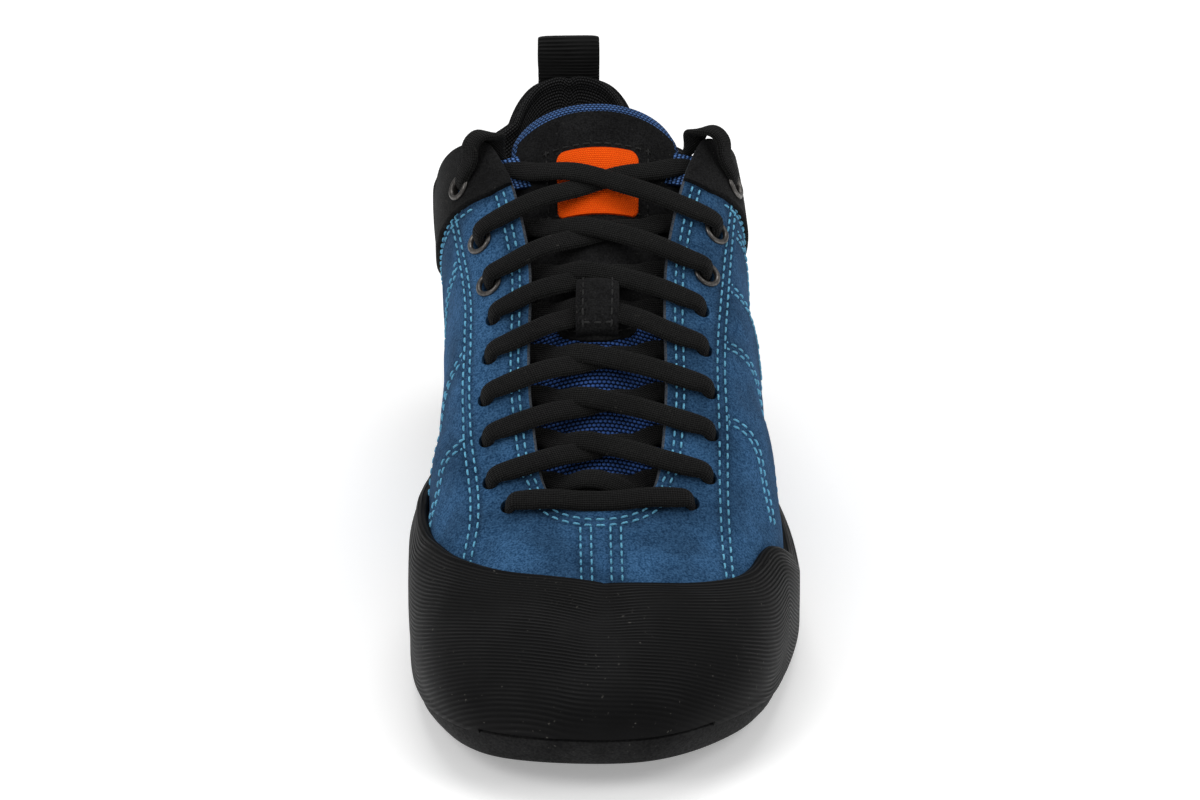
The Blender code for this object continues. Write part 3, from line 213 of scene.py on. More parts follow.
def soft_limit(x: Array, limit: Array, blend: float, sign: int) -> Array:
    """Limits softly.

    Args:
        x: The values.
        limit: What they are held to.
        blend: Width of the rounded change.
        sign: 1 for the larger of the two, -1 for the smaller.

    Returns:
        The limited values.
    """
    return 0.5 * (x + limit + sign * np.sqrt((x - limit) ** 2 + blend**2))


class Curve:
    """A natural cubic curve through given points, which holds its end values."""

    def __init__(self, xs: Sequence[float], ys: Sequence) -> None:
        """Solves the curve's bends.

        Args:
            xs: Where the points are.
            ys: Their values, each a number or a vector.
        """
        self.xs = np.asarray(xs, float)
        self.ys = np.asarray(ys, float)
        self.steps = np.diff(self.xs)
        n = len(self.xs)
        matrix = np.eye(n)
        right = np.zeros_like(self.ys)
        for i in range(1, n - 1):
            h, g = self.steps[i - 1], self.steps[i]
            matrix[i, i - 1 : i + 2] = h, 2 * (h + g), g
            right[i] = 6 * ((self.ys[i + 1] - self.ys[i]) / g - (self.ys[i] - self.ys[i - 1]) / h)
        self.bend = np.linalg.solve(matrix, right)

    def __call__(self, x: Array) -> Array:
        """The curve's values at x."""
        x = np.clip(np.asarray(x, float), self.xs[0], self.xs[-1])
        i = np.clip(np.searchsorted(self.xs, x) - 1, 0, len(self.xs) - 2)
        h = self.steps[i]
        a, b = (self.xs[i + 1] - x) / h, (x - self.xs[i]) / h
        if self.ys.ndim > 1:
            a, b, h = a[..., None], b[..., None], h[..., None]
        cubic = ((a**3 - a) * self.bend[i] + (b**3 - b) * self.bend[i + 1]) * h * h / 6
        return a * self.ys[i] + b * self.ys[i + 1] + cubic


class Ring:
    """A closed cubic curve through values one place apart."""

    def __init__(self, values: Array) -> None:
        """Solves the ring's bends from its values."""
        self.values = np.asarray(values, float)
        n = len(self.values)
        matrix = 4 * np.eye(n) + np.roll(np.eye(n), 1, axis=1) + np.roll(np.eye(n), -1, axis=1)
        right = np.roll(self.values, -1) - 2 * self.values + np.roll(self.values, 1)
        self.bend = np.linalg.solve(matrix, 6 * right)

    def __call__(self, place: Array) -> Array:
        """The ring's values at each place."""
        whole = np.floor(place).astype(int)
        b = place - whole
        a = 1 - b
        n = len(self.values)
        i, j = whole % n, (whole + 1) % n
        cubic = ((a**3 - a) * self.bend[i] + (b**3 - b) * self.bend[j]) / 6
        return a * self.values[i] + b * self.values[j] + cubic


def column_curve(rows: Table, column: int) -> Curve:
    """One column of a table as a curve over its first column."""
    table = np.array(rows)
    return Curve(table[:, 0], table[:, column])


def smooth_path(points: Array, step: float) -> Array:
    """Resamples a path.

    Args:
        points: Points that the path goes through, also with more than three columns.
        step: About the distance between the new points.

    Returns:
        Evenly spaced points of a smooth curve through the given ones.
    """
    points = np.asarray(points, float)
    gaps = np.linalg.norm(np.diff(points[:, :3], axis=0), axis=1)
    apart = np.concatenate([[True], gaps > 1e-6])
    points = points[apart]
    knots = np.concatenate([[0.0], np.cumsum(gaps[apart[1:]])])
    count = max(int(math.ceil(knots[-1] / step)), 2) + 1
    return Curve(knots, points)(np.linspace(0.0, knots[-1], count))


@dataclass
class Last:
    """The form of the shoe: ribs from the feather edge up to the ridge, as in the CAD part."""

    welt: float = 0.0032
    heel_stack: float = 0.0285
    forefoot_stack: float = 0.0135
    toe_stack: float = 0.0105
    toe_spring: float = 0.0072
    arch_rise: float = 0.0022
    outsole_thick: float = 0.0068
    toe_lip: float = 0.0095
    throat_start: float = 0.0615
    throat_radius: float = 0.0090

    def __post_init__(self) -> None:
        """Makes the curves from the tables."""
        rows = np.array(LAST_ROWS)

        def around(lateral: int, medial: int, sign: int = 1) -> Ring:
            """A ring from a lateral and a medial column."""
            return Ring(np.concatenate([rows[:, lateral], sign * rows[-2:0:-1, medial]]))

        self.edge_x = around(1, 2, -1)
        self.edge_y = around(0, 0)
        self.lean = around(3, 4)
        self.rise = around(5, 5)
        self.over = around(6, 6)
        self.ridge_shift = column_curve(RIDGE_ROWS, 1)
        self.ridge_height = column_curve(RIDGE_ROWS, 2)
        self.throat = column_curve(THROAT_ROWS, 1)
        self.dome = column_curve(DOME_ROWS, 1)
        self.collar = {side: column_curve(COLLAR_ROWS, 1 if side is Side.LATERAL else 2) for side in Side}
        self.side_shift = 0.5 * BALL_WIDTH * (rows[:, 1].max() - rows[:, 2].max())

    def in_frame(self, points: Array) -> Array:
        """Points of the last, moved to the part's own frame."""
        return np.asarray(points) - np.array([self.side_shift, 0.5 * SOLE_LENGTH, 0.0])

    def tread_level(self, y: Array) -> Array:
        """Height of the tread above the floor at a distance from the toe."""
        share = np.asarray(y) / SOLE_LENGTH
        toe = self.toe_spring * (1 - smooth_step(0.0, 0.24, share)) ** 1.4
        middle = np.abs(share - 0.60) / 0.13
        arch = self.arch_rise * np.maximum(0.0, 1 - middle * middle) ** 2
        return toe + arch + 0.0025 * smooth_step(0.955, 1.0, share)

    def feather_level(self, y: Array) -> Array:
        """Height of the edge where the upper meets the sole."""
        share = np.asarray(y) / SOLE_LENGTH
        front = self.toe_stack + (self.forefoot_stack - self.toe_stack) * smooth_step(0.02, 0.30, share)
        rear = (self.heel_stack - self.forefoot_stack) * smooth_step(0.34, 0.92, share)
        return front + rear + self.toe_spring * (1 - smooth_step(0.0, 0.26, share)) ** 1.2

    def outsole_level(self, y: Array) -> Array:
        """Height of the outsole's top."""
        lip = (self.toe_lip - self.outsole_thick) * (1 - smooth_step(0.05, 0.22, np.asarray(y) / SOLE_LENGTH))
        return self.tread_level(y) + self.outsole_thick + lip

    def edge_point(self, place: Array, outward: Array | float = 0.0) -> Array:
        """Points of the sole's outline in plan.

        Args:
            place: Places round the shoe.
            outward: How far they are moved out.

        Returns:
            One x and y for each place.
        """
        step = 0.02
        x = self.edge_x(place) * BALL_WIDTH
        y = self.edge_y(place) * SOLE_LENGTH
        dx = (self.edge_x(place + step) - self.edge_x(place - step)) * BALL_WIDTH
        dy = (self.edge_y(place + step) - self.edge_y(place - step)) * SOLE_LENGTH
        size = np.hypot(dx, dy)
        return np.stack([x + outward * dy / size, y - outward * dx / size], axis=-1)

    def ridge_reach(self, place: Array) -> Array:
        """How far from the toe the rib from a place meets the ridge."""
        share = soft_limit(self.edge_y(place), 0.067, 0.081, 1)
        return soft_limit(share, 0.839, 0.087, -1) * SOLE_LENGTH

    def handles(self, place: Array) -> Array:
        """The four points of each rib's cubic curve."""
        foot = self.edge_point(place, -self.welt)
        base = np.concatenate([foot, self.feather_level(foot[..., 1])[..., None]], axis=-1)
        y = self.ridge_reach(place)
        share, step = y / SOLE_LENGTH, 0.004
        gain = self.ridge_height(share + step) - self.ridge_height(share - step)
        slope = gain * INSTEP_HEIGHT / (2 * step * SOLE_LENGTH)
        height = self.ridge_height(share) * INSTEP_HEIGHT
        top = np.stack([self.ridge_shift(share) * BALL_WIDTH, y, height], axis=-1)
        out = base[..., :2] - top[..., :2]
        low = base.copy()
        low[..., :2] += unit(out) * (self.lean(place) * BALL_WIDTH)[..., None]
        low[..., 2] += self.rise(place) * (top[..., 2] - base[..., 2])
        high = top.copy()
        high[..., :2] += out * self.over(place)[..., None]
        high[..., 2] += slope * (high[..., 1] - top[..., 1])
        return np.stack([base, low, high, top])

    @staticmethod
    def along_rib(handles: Array, share: Array) -> Array:
        """Points of ribs at their shares."""
        s = np.asarray(share, float)[..., None]
        a = 1 - s
        return a**3 * handles[0] + 3 * a * a * s * handles[1] + 3 * a * s * s * handles[2] + s**3 * handles[3]

    def point(self, place: Array, share: Array) -> Array:
        """Points of the last: share 0 is the feather edge and 1 the ridge."""
        place, share = together(place, share)
        return self.along_rib(self.handles(place), share)

    def normal(self, place: Array, share: Array) -> Array:
        """Outward directions of the last, averaged over both sides at the ridge."""
        place, share = together(place, share)

        def facing(place: Array) -> Array:
            """The direction on one side."""
            held = np.clip(share, 0.01, NEAR_RIDGE)
            along = self.point(place + 0.03, held) - self.point(place - 0.03, held)
            up = self.point(place, held + 0.01) - self.point(place, held - 0.01)
            return unit(np.cross(along, up))

        here = facing(place)
        near = (0.5 * smooth_step(NEAR_RIDGE, 1.0, share))[..., None]
        return unit((1 - near) * here + near * facing(PLACES - place))

    def out(self, place: Array, share: Array, distance: Array | float) -> Array:
        """Points set out from the last by a distance."""
        distance = np.asarray(distance, float)
        return self.point(place, share) + self.normal(place, share) * distance[..., None]

    def share_where(self, place: Array, test: Test) -> Array:
        """Where on each rib a test first turns true.

        Args:
            place: The ribs' places.
            test: Takes points and says for each whether it is past.

        Returns:
            The shares, 1 where the test never is.
        """
        handles = self.handles(place)
        low, high = np.zeros_like(place), np.ones_like(place)
        for _ in range(HALVINGS):
            middle = 0.5 * (low + high)
            hit = test(self.along_rib(handles, middle))
            high = np.where(hit, middle, high)
            low = np.where(hit, low, middle)
        return np.where(test(self.along_rib(handles, np.ones_like(place))), high, 1.0)

    def share_at_height(self, place: Array, height: Callable | Array | float) -> Array:
        """Where each rib comes to a height, given or taken from its distance from the toe."""
        if not callable(height):
            return self.share_where(place, lambda p: p[..., 2] >= height)
        return self.share_where(
            place, lambda p: p[..., 2] >= height(p[..., 1] / SOLE_LENGTH) * INSTEP_HEIGHT)

    def from_ridge(self, points: Array) -> Array:
        """How far to the side points are from the ridge."""
        return np.abs(points[..., 0] - self.ridge_shift(points[..., 1] / SOLE_LENGTH) * BALL_WIDTH)

    def throat_half(self, y: Array) -> Array:
        """Half width of the throat's opening at a distance from the toe."""
        past = np.clip((np.asarray(y) - self.throat_start) / self.throat_radius, 0.0, 1.0)
        return self.throat(np.asarray(y) / SOLE_LENGTH) * BALL_WIDTH * np.sqrt(1 - (1 - past) ** 2)

    def upper_edge(self, place: Array) -> Array:
        """Share at which the upper ends on each rib: ridge, throat edge or collar."""
        reach = self.ridge_reach(place)
        ahead = self.edge_y(place)
        throat = self.share_where(place, lambda p: self.from_ridge(p) <= self.throat_half(p[..., 1]))
        lateral, medial = self.collar[Side.LATERAL](ahead), self.collar[Side.MEDIAL](ahead)
        height = np.where(place <= HEEL, lateral, medial) * INSTEP_HEIGHT
        back = np.abs(place - HEEL) < DOME_REACH

        def past(p: Array) -> Array:
            """Whether points lie above the collar, or above its raised back."""
            dome = self.dome(np.abs(p[..., 0] - DOME_MIDDLE))
            return p[..., 2] >= np.where(back, np.maximum(height, dome), height)

        collar = self.share_where(place, past)
        soft = soft_limit(throat, collar, 0.04, -1)
        edge = np.where(ahead > 0.80, collar, np.where(reach < 0.50 * SOLE_LENGTH, throat, soft))
        return np.where(self.throat_half(reach) <= 0, 1.0, edge)

    def locate(self, along: Array, side: Array, test: Test) -> tuple[Array, Array]:
        """Finds where on the last a test turns true at a given length.

        Args:
            along: Shares of the sole's length.
            side: 1 lateral or -1 medial, for each.
            test: As for share_where.

        Returns:
            Places and shares.
        """
        low, high = np.zeros_like(along), np.full_like(along, HEEL)
        for _ in range(HALVINGS):
            middle = 0.5 * (low + high)
            place = np.where(side > 0, middle, PLACES - middle)
            share = self.share_where(place, test)
            short = self.point(place, share)[..., 1] < along * SOLE_LENGTH
            low = np.where(short, middle, low)
            high = np.where(short, high, middle)
        return place, share

    def spot(self, along: Array, half: Array, side: Array) -> tuple[Array, Array]:
        """Places and shares a given way along and to the side of the ridge."""
        along, half, side = together(along, half, side)
        width = half * BALL_WIDTH
        return self.locate(along, side, lambda p: self.from_ridge(p) <= width)

    def level(self, along: Array, height: Array, side: Array) -> tuple[Array, Array]:
        """Places and shares a given way along and at a height above the floor."""
        along, height, side = together(along, height, side)
        return self.locate(along, side, lambda p: p[..., 2] >= height)

    def place_at(self, along: float, side: Side) -> float:
        """The place on a side at which the sole's edge comes to a share of its length."""
        places = np.linspace(0.0, HEEL, 3001)
        found = float(np.interp(along, self.edge_y(places), places))
        return found if side is Side.LATERAL else PLACES - found

    def facing(self, along: Array, half: Array, side: Array) -> tuple[Array, Array]:
        """Points of the last and their outward directions, across the ridge without a jump."""
        half = np.asarray(half, float)
        place, share = self.spot(along, np.maximum(half, RIDGE_CLEAR), side)
        point, normal = self.point(place, share), self.normal(place, share)
        near = half < RIDGE_CLEAR
        if np.any(near):
            other, other_share = self.spot(along, np.full_like(half, RIDGE_CLEAR), -np.asarray(side, float))
            point = np.where(near[..., None], 0.5 * (point + self.point(other, other_share)), point)
            normal = np.where(near[..., None], unit(normal + self.normal(other, other_share)), normal)
        return point, normal


LAST = Last()


def set_inputs(shader: bpy.types.Node, values: dict[str, object]) -> None:
    """Sets a shader's own values by name."""
    for key, value in values.items():
        shader.inputs[key].default_value = value


class Tree:
    """Adds and links nodes in one shader tree."""

    def __init__(self, tree: bpy.types.NodeTree) -> None:
        """Takes the tree that is built."""
        self.tree = tree

    def add(self, kind: str, **settings: object) -> bpy.types.Node:
        """Adds a node.

        Args:
            kind: Its Blender type.
            settings: Its properties, or its inputs by name with _ for a space.

        Returns:
            The node.
        """
        node = self.tree.nodes.new(kind)
        for key, value in settings.items():
            if hasattr(node, key):
                setattr(node, key, value)
            else:
                self.feed(node.inputs[key.replace("_", " ")], value)
        return node

    def group(self, name: str, **settings: float) -> bpy.types.Node:
        """Adds a node group with its own values."""
        return self.add("ShaderNodeGroup", node_tree=bpy.data.node_groups[name], **settings)

    def give(self, result: bpy.types.Node, **outputs: Socket) -> None:
        """Links a group's outputs by name."""
        for key, value in outputs.items():
            self.feed(result.inputs[key], value)

    def feed(self, socket: Socket, value: object) -> None:
        """Links a socket to another one, or sets its value."""
        if isinstance(value, Socket):
            self.tree.links.new(value, socket)
        else:
            socket.default_value = value

    def math(self, operation: str, *values: object) -> Socket:
        """The result of a Math node."""
        node = self.add("ShaderNodeMath", operation=operation)
        for socket, value in zip(node.inputs, values):
            self.feed(socket, value)
        return node.outputs[0]

    def plus(self, first: object, second: object) -> Socket:
        """A sum."""
        return self.math("ADD", first, second)

    def times(self, first: object, second: object) -> Socket:
        """A product."""
        return self.math("MULTIPLY", first, second)

    def span(self, value: object, low: float, high: float, to_low: float, to_high: float) -> object:
        """A smooth change from one range to another."""
        node = self.add("ShaderNodeMapRange", interpolation_type="SMOOTHSTEP")
        for socket, given in zip(node.inputs, (value, low, high, to_low, to_high)):
            self.feed(socket, given)
        return node.outputs[0]

    def mix(self, share: object, first: object, second: object) -> Socket:
        """A colour between two."""
        node = self.add("ShaderNodeMix", data_type="RGBA")
        self.feed(node.inputs[0], share)
        self.feed(node.inputs[6], first)
        self.feed(node.inputs[7], second)
        return node.outputs[2]


def new_group(name: str, inputs: dict[str, float], outputs: Sequence[str]) -> tuple[Tree, object, object]:
    """Starts a shader node group.

    Args:
        name: The group's name.
        inputs: Its float inputs with their first values.
        outputs: Its float outputs.

    Returns:
        Its tree, its input node and its output node.
    """
    group = bpy.data.node_groups.new(name, "ShaderNodeTree")
    for key, value in inputs.items():
        socket = group.interface.new_socket(name=key, in_out="INPUT", socket_type="NodeSocketFloat")
        socket.default_value = value
    for key in outputs:
        group.interface.new_socket(name=key, in_out="OUTPUT", socket_type="NodeSocketFloat")
    tree = Tree(group)
    return tree, tree.add("NodeGroupInput"), tree.add("NodeGroupOutput")


def noise(tree: Tree, size: object, detail: float) -> object:
    """A noise over the object, of a feature size in metres."""
    where = tree.add("ShaderNodeTexCoord").outputs["Object"]
    scale = tree.math("DIVIDE", 1.0, size)
    node = tree.add("ShaderNodeTexNoise", Vector=where, Scale=scale, Detail=detail, Roughness=0.6)
    return node.outputs[0]


def make_nap() -> None:
    """Brushed nap or fine grain: short fibres in small tufts."""
    tree, given, result = new_group("nap", {"Pitch": 0.0005}, ("Mask", "Height"))
    fine = noise(tree, given.outputs["Pitch"], 2.0)
    tuft = noise(tree, tree.times(given.outputs["Pitch"], 3.6), 2.0)
    both = tree.plus(tree.times(fine, 0.78), tree.times(tuft, 0.22))
    tree.give(result, Mask=tree.span(both, 0.32, 0.68, 0.0, 1.0), Height=both)


def cloth_axes(tree: Tree, pitch: object) -> tuple[object, object]:
    """The cloth's two directions, counted in pitches."""
    parts = tree.add("ShaderNodeSeparateXYZ", Vector=tree.add("ShaderNodeUVMap").outputs[0])
    return tuple(tree.math("DIVIDE", parts.outputs[k], pitch) for k in (0, 1))


def make_cells() -> None:
    """Open mesh or plain weave: staggered rounded cells between dark gaps."""
    tree, given, result = new_group("mesh_cells", {"Pitch": 0.0012}, ("Mask", "Height"))
    across, up = cloth_axes(tree, given.outputs["Pitch"])
    row = tree.math("FLOOR", up)
    shifted = tree.plus(across, tree.times(tree.math("MODULO", row, 2.0), 0.5))
    x = tree.math("SUBTRACT", tree.math("FRACT", shifted), 0.5)
    y = tree.times(tree.math("SUBTRACT", tree.math("FRACT", up), 0.5), 1.15)
    far = tree.math("SQRT", tree.plus(tree.math("POWER", tree.math("ABSOLUTE", x), 2.0),
                                      tree.math("POWER", tree.math("ABSOLUTE", y), 2.0)))
    mask = tree.span(far, 0.30, 0.50, 1.0, 0.0)
    tree.give(result, Mask=mask, Height=tree.span(far, 0.10, 0.52, 1.0, 0.0))


def make_braid() -> None:
    """Plaited threads that cross at a slant."""
    tree, given, result = new_group("braid", {"Pitch": 0.0014}, ("Mask", "Height"))
    across, up = cloth_axes(tree, given.outputs["Pitch"])
    one = tree.math("SINE", tree.times(tree.plus(across, up), FULL_TURN))
    two = tree.math("SINE", tree.times(tree.math("SUBTRACT", across, up), FULL_TURN))
    plait = tree.plus(tree.times(tree.times(one, two), 0.5), 0.5)
    fuzz = noise(tree, 0.0004, 2.0)
    mask = tree.times(plait, tree.span(fuzz, 0.3, 0.7, 0.4, 1.3))
    tree.give(result, Mask=mask, Height=tree.plus(plait, tree.times(fuzz, 0.4)))


def make_ribs() -> None:
    """Fine raised lines along a piece, a little uneven, with painted highlight on their crests and painted
    shade in their grooves.
    """
    tree, given, result = new_group("ribs", {"Pitch": 0.0012}, ("Mask", "Height"))
    up = cloth_axes(tree, given.outputs["Pitch"])[1]
    waver = tree.times(noise(tree, 0.02, 1.0), 0.9)
    line = tree.math("SINE", tree.times(tree.plus(up, waver), FULL_TURN))
    strength = tree.span(noise(tree, 0.012, 2.0), 0.3, 0.7, 0.35, 1.0)
    raised = tree.plus(tree.times(tree.times(line, strength), 0.5), 0.5)
    # The mask makes the crests light and the grooves dark: painted highlight and painted shade on the ribs.
    tree.give(result, Mask=tree.math("POWER", raised, 2.0), Height=raised)


def make_mottle() -> None:
    """Slow change of shade over a piece."""
    tree, given, result = new_group("mottle", {"Size": 0.02}, ("Mask",))
    wide = noise(tree, given.outputs["Size"], 2.5)
    tree.give(result, Mask=tree.span(wide, 0.30, 0.70, 0.0, 1.0))


def make_dust() -> None:
    """Small pale specks of dust, few and far apart."""
    tree, given, result = new_group("dust", {"Amount": 0.5}, ("Mask",))
    speck = noise(tree, 0.0011, 1.0)
    patch = noise(tree, 0.011, 2.0)
    few = tree.span(patch, 0.42, 0.62, 0.0, 1.0)
    both = tree.times(tree.span(speck, 0.70, 0.80, 0.0, 1.0), few)
    tree.give(result, Mask=tree.times(both, given.outputs["Amount"]))


class Pattern(Enum):
    """The surfaces that a finish can have, and the group that makes each."""

    NAP = "nap"
    CELLS = "mesh_cells"
    BRAID = "braid"
    RIBS = "ribs"


@dataclass(frozen=True)
class Finish:
    """One material: two shades mixed by a pattern, with shade changes, painted shade and dirt along the
    seams, dust and relief.
    """

    name: str
    slot: str
    dark: Colour
    light: Colour
    pattern: Pattern
    pitch: float
    relief: float
    roughness: float
    sheen: float = 0.0
    sheen_tint: Colour = (1.0, 1.0, 1.0)
    mottle: float = 0.25
    mottle_size: float = 0.02
    dust: float = 0.0
    metallic: float = 0.0
    worked: bool = False
    gloss: float = 0.04

    def make(self) -> bpy.types.Material:
        """Builds the material, or gives the one already built."""
        name = f"finish_{self.name}"
        found = bpy.data.materials.get(name)
        if found:
            return found
        made = bpy.data.materials.new(name)
        made.use_nodes = True
        tree = Tree(made.node_tree)
        shader = made.node_tree.nodes["Principled BSDF"]
        figure = tree.group(self.pattern.value, Pitch=self.pitch)
        wide = tree.group("mottle", Size=self.mottle_size)
        height = figure.outputs["Height"]
        mask = figure.outputs["Mask"]
        if self.worked:
            field = tree.add("ShaderNodeAttribute", attribute_name="worked").outputs["Fac"]
            mask = tree.times(mask, field)
            height = tree.times(height, field)
        colour = tree.mix(mask, (*self.dark, 1.0), (*self.light, 1.0))
        shade = tree.span(wide.outputs["Mask"], 0.0, 1.0, 1 - self.mottle, 1 + self.mottle)
        # Near the seams the colour is darkened: painted shade in the stitch troughs, with some dirt.
        seam = tree.add("ShaderNodeAttribute", attribute_name="seam").outputs["Fac"]
        shade = tree.times(shade, tree.math("SUBTRACT", 1.0, tree.times(seam, SEAM_PAINTED_SHADE_AND_DIRT)))
        scaled = tree.add("ShaderNodeVectorMath", operation="SCALE")
        tree.feed(scaled.inputs[0], colour)
        tree.feed(scaled.inputs["Scale"], shade)
        specks = tree.group("dust", Amount=self.dust)
        dusted = tree.mix(specks.outputs["Mask"], scaled.outputs[0], DUST_COLOUR)
        tree.feed(shader.inputs["Base Color"], dusted)
        rough = tree.span(mask, 0.0, 1.0, min(self.roughness + 0.08, 1.0), self.roughness - 0.06)
        tree.feed(shader.inputs["Roughness"], rough)
        set_inputs(shader, {"Metallic": self.metallic, "Specular IOR Level": self.gloss,
                            "Sheen Weight": self.sheen, "Sheen Roughness": 0.5,
                            "Sheen Tint": (*self.sheen_tint, 1.0)})
        relief = tree.math("SUBTRACT", height, tree.times(seam, SEAM_DEPTH))
        bump = tree.add("ShaderNodeBump", Height=relief, Strength=1.0, Distance=self.relief)
        tree.feed(shader.inputs["Normal"], bump.outputs[0])
        return made


SUEDE = Finish("blue_suede", "blue_suede", (0.009, 0.036, 0.088), (0.045, 0.120, 0.240), Pattern.NAP,
               0.00055, 0.00045, 0.95, 0.06, (0.45, 0.65, 0.95), 0.26, 0.022)
RAW_EDGE = Finish("suede_edge", "blue_suede", (0.020, 0.030, 0.045), (0.080, 0.085, 0.095), Pattern.NAP,
                  0.0005, 0.0002, 0.95, 0.1)
# The rand's ribs are light on the crests and dark in the grooves: painted highlight and painted shade.
RAND = Finish("rand_rubber", "rand_rubber", (0.0030, 0.0030, 0.0032), (0.0170, 0.0170, 0.0172), Pattern.RIBS,
              0.00102, 0.00034, 0.55, mottle=0.2, dust=0.30, worked=True, gloss=0.07)
PLAIN_RUBBER = Finish("plain_rubber", "rand_rubber", (0.0065, 0.0065, 0.0068), (0.011, 0.011, 0.011),
                      Pattern.NAP, 0.0006, 0.00006, 0.58, dust=0.4, gloss=0.07)
TREAD = Finish("outsole_rubber", "outsole_rubber", (0.0070, 0.0070, 0.0074), (0.0140, 0.0140, 0.0142),
               Pattern.NAP, 0.0007, 0.00008, 0.62, dust=0.22, gloss=0.05)
FOAM = Finish("midsole_foam", "midsole_foam", (0.009, 0.009, 0.010), (0.016, 0.016, 0.017), Pattern.NAP,
              0.0009, 0.0001, 0.80, dust=0.2)
FOOTBED = Finish("insole_cloth", "insole_foam", (0.012, 0.012, 0.013), (0.035, 0.035, 0.038), Pattern.CELLS,
                 0.0011, 0.0001, 0.92, 0.1)
NUBUCK = Finish("black_nubuck", "black_nubuck", (0.0035, 0.0035, 0.0036), (0.0140, 0.0140, 0.0145),
                Pattern.NAP, 0.00045, 0.00018, 0.90, 0.03, dust=0.25)
LINING = Finish("lining_mesh", "lining_mesh", (0.0015, 0.0015, 0.0016), (0.026, 0.026, 0.027), Pattern.CELLS,
                0.00095, 0.00040, 0.90, 0.03)
TONGUE_MESH = Finish("navy_mesh", "navy_mesh", (0.0020, 0.0045, 0.0160), (0.050, 0.125, 0.400),
                     Pattern.CELLS, 0.00125, 0.00040, 0.82, 0.06, (0.5, 0.7, 1.0))
BAND_MESH = Finish("band_mesh", "navy_mesh", (0.004, 0.010, 0.035), (0.090, 0.200, 0.480), Pattern.CELLS,
                   0.00115, 0.00040, 0.80, 0.06, (0.5, 0.7, 1.0))
ORANGE = Finish("orange_weave", "orange_weave", (0.80, 0.060, 0.003), (0.98, 0.130, 0.006), Pattern.CELLS,
                0.00062, 0.00014, 0.78, mottle=0.06)
METAL = Finish("gunmetal", "gunmetal", (0.075, 0.070, 0.066), (0.150, 0.142, 0.135), Pattern.NAP,
               0.0009, 0.00002, 0.38, metallic=0.9, gloss=0.5)
CORD = Finish("lace_cord", "lace_black", (0.0022, 0.0022, 0.0022), (0.0150, 0.0150, 0.0146), Pattern.BRAID,
              0.00125, 0.00032, 0.86, 0.04, mottle=0.15, dust=0.12)
# The loop's ribs are light on the crests and dark in the grooves: painted highlight and painted shade.
WEBBING = Finish("loop_webbing", "webbing_black", (0.0045, 0.0045, 0.0045), (0.020, 0.020, 0.020),
                 Pattern.RIBS, 0.00112, 0.00040, 0.84, 0.03)
THREAD = Finish("stitch_thread", "stitch_blue", (0.13, 0.50, 0.85), (0.34, 0.80, 1.00), Pattern.BRAID,
                0.0005, 0.00010, 0.60, mottle=0.12)
DARK_THREAD = Finish("dark_thread", "black_nubuck", (0.026, 0.026, 0.026), (0.060, 0.060, 0.060),
                     Pattern.BRAID, 0.0005, 0.00010, 0.60)


def add_object(name: str, data: bpy.types.ID) -> Piece:
    """Adds an object with its data to the scene."""
    made = bpy.data.objects.new(name, data)
    bpy.context.scene.collection.objects.link(made)
    return made


def shade(mesh: Mesh, angle: float = SHARP_ANGLE) -> None:
    """Shades a mesh smooth, but for edges sharper than an angle in degrees."""
    mesh.shade_smooth()
    mesh.set_sharp_from_angle(angle=math.radians(angle))


def distances(points: Array, line: Array) -> Array:
    """How far each point of a grid is from the nearest point of a line."""
    tree = KDTree(len(line))
    for k, point in enumerate(line):
        tree.insert(point, k)
    tree.balance()
    return np.array([tree.find(p)[2] for p in points.reshape(-1, 3)]).reshape(points.shape[:-1])


def oval(count: int, width: float, height: float, powers: tuple[float, float]) -> tuple[Array, Array]:
    """A flattened oval.

    Args:
        count: How many points it has.
        width: Its whole width.
        height: Its whole height.
        powers: How square it is across and up, less for squarer.

    Returns:
        Its points across and up.
    """
    turns = np.linspace(0.0, FULL_TURN, count, endpoint=False)
    waves = (np.cos(turns), np.sin(turns))
    across, up = (np.sign(wave) * np.abs(wave) ** power for wave, power in zip(waves, powers))
    return 0.5 * width * across, 0.5 * height * up


@contextmanager
def editing(mesh: Mesh) -> Iterator[bmesh.types.BMesh]:
    """Opens a mesh for editing and writes it back."""
    shape = bmesh.new()
    shape.from_mesh(mesh)
    yield shape
    shape.to_mesh(mesh)
    shape.free()


def lengths(points: Array, axis: int) -> Array:
    """Distances run along one axis of a grid of points, from 0."""
    gaps = np.linalg.norm(np.diff(points, axis=axis), axis=-1)
    zero = np.zeros_like(np.take(gaps, [0], axis=axis))
    return np.concatenate([zero, np.cumsum(gaps, axis=axis)], axis=axis)


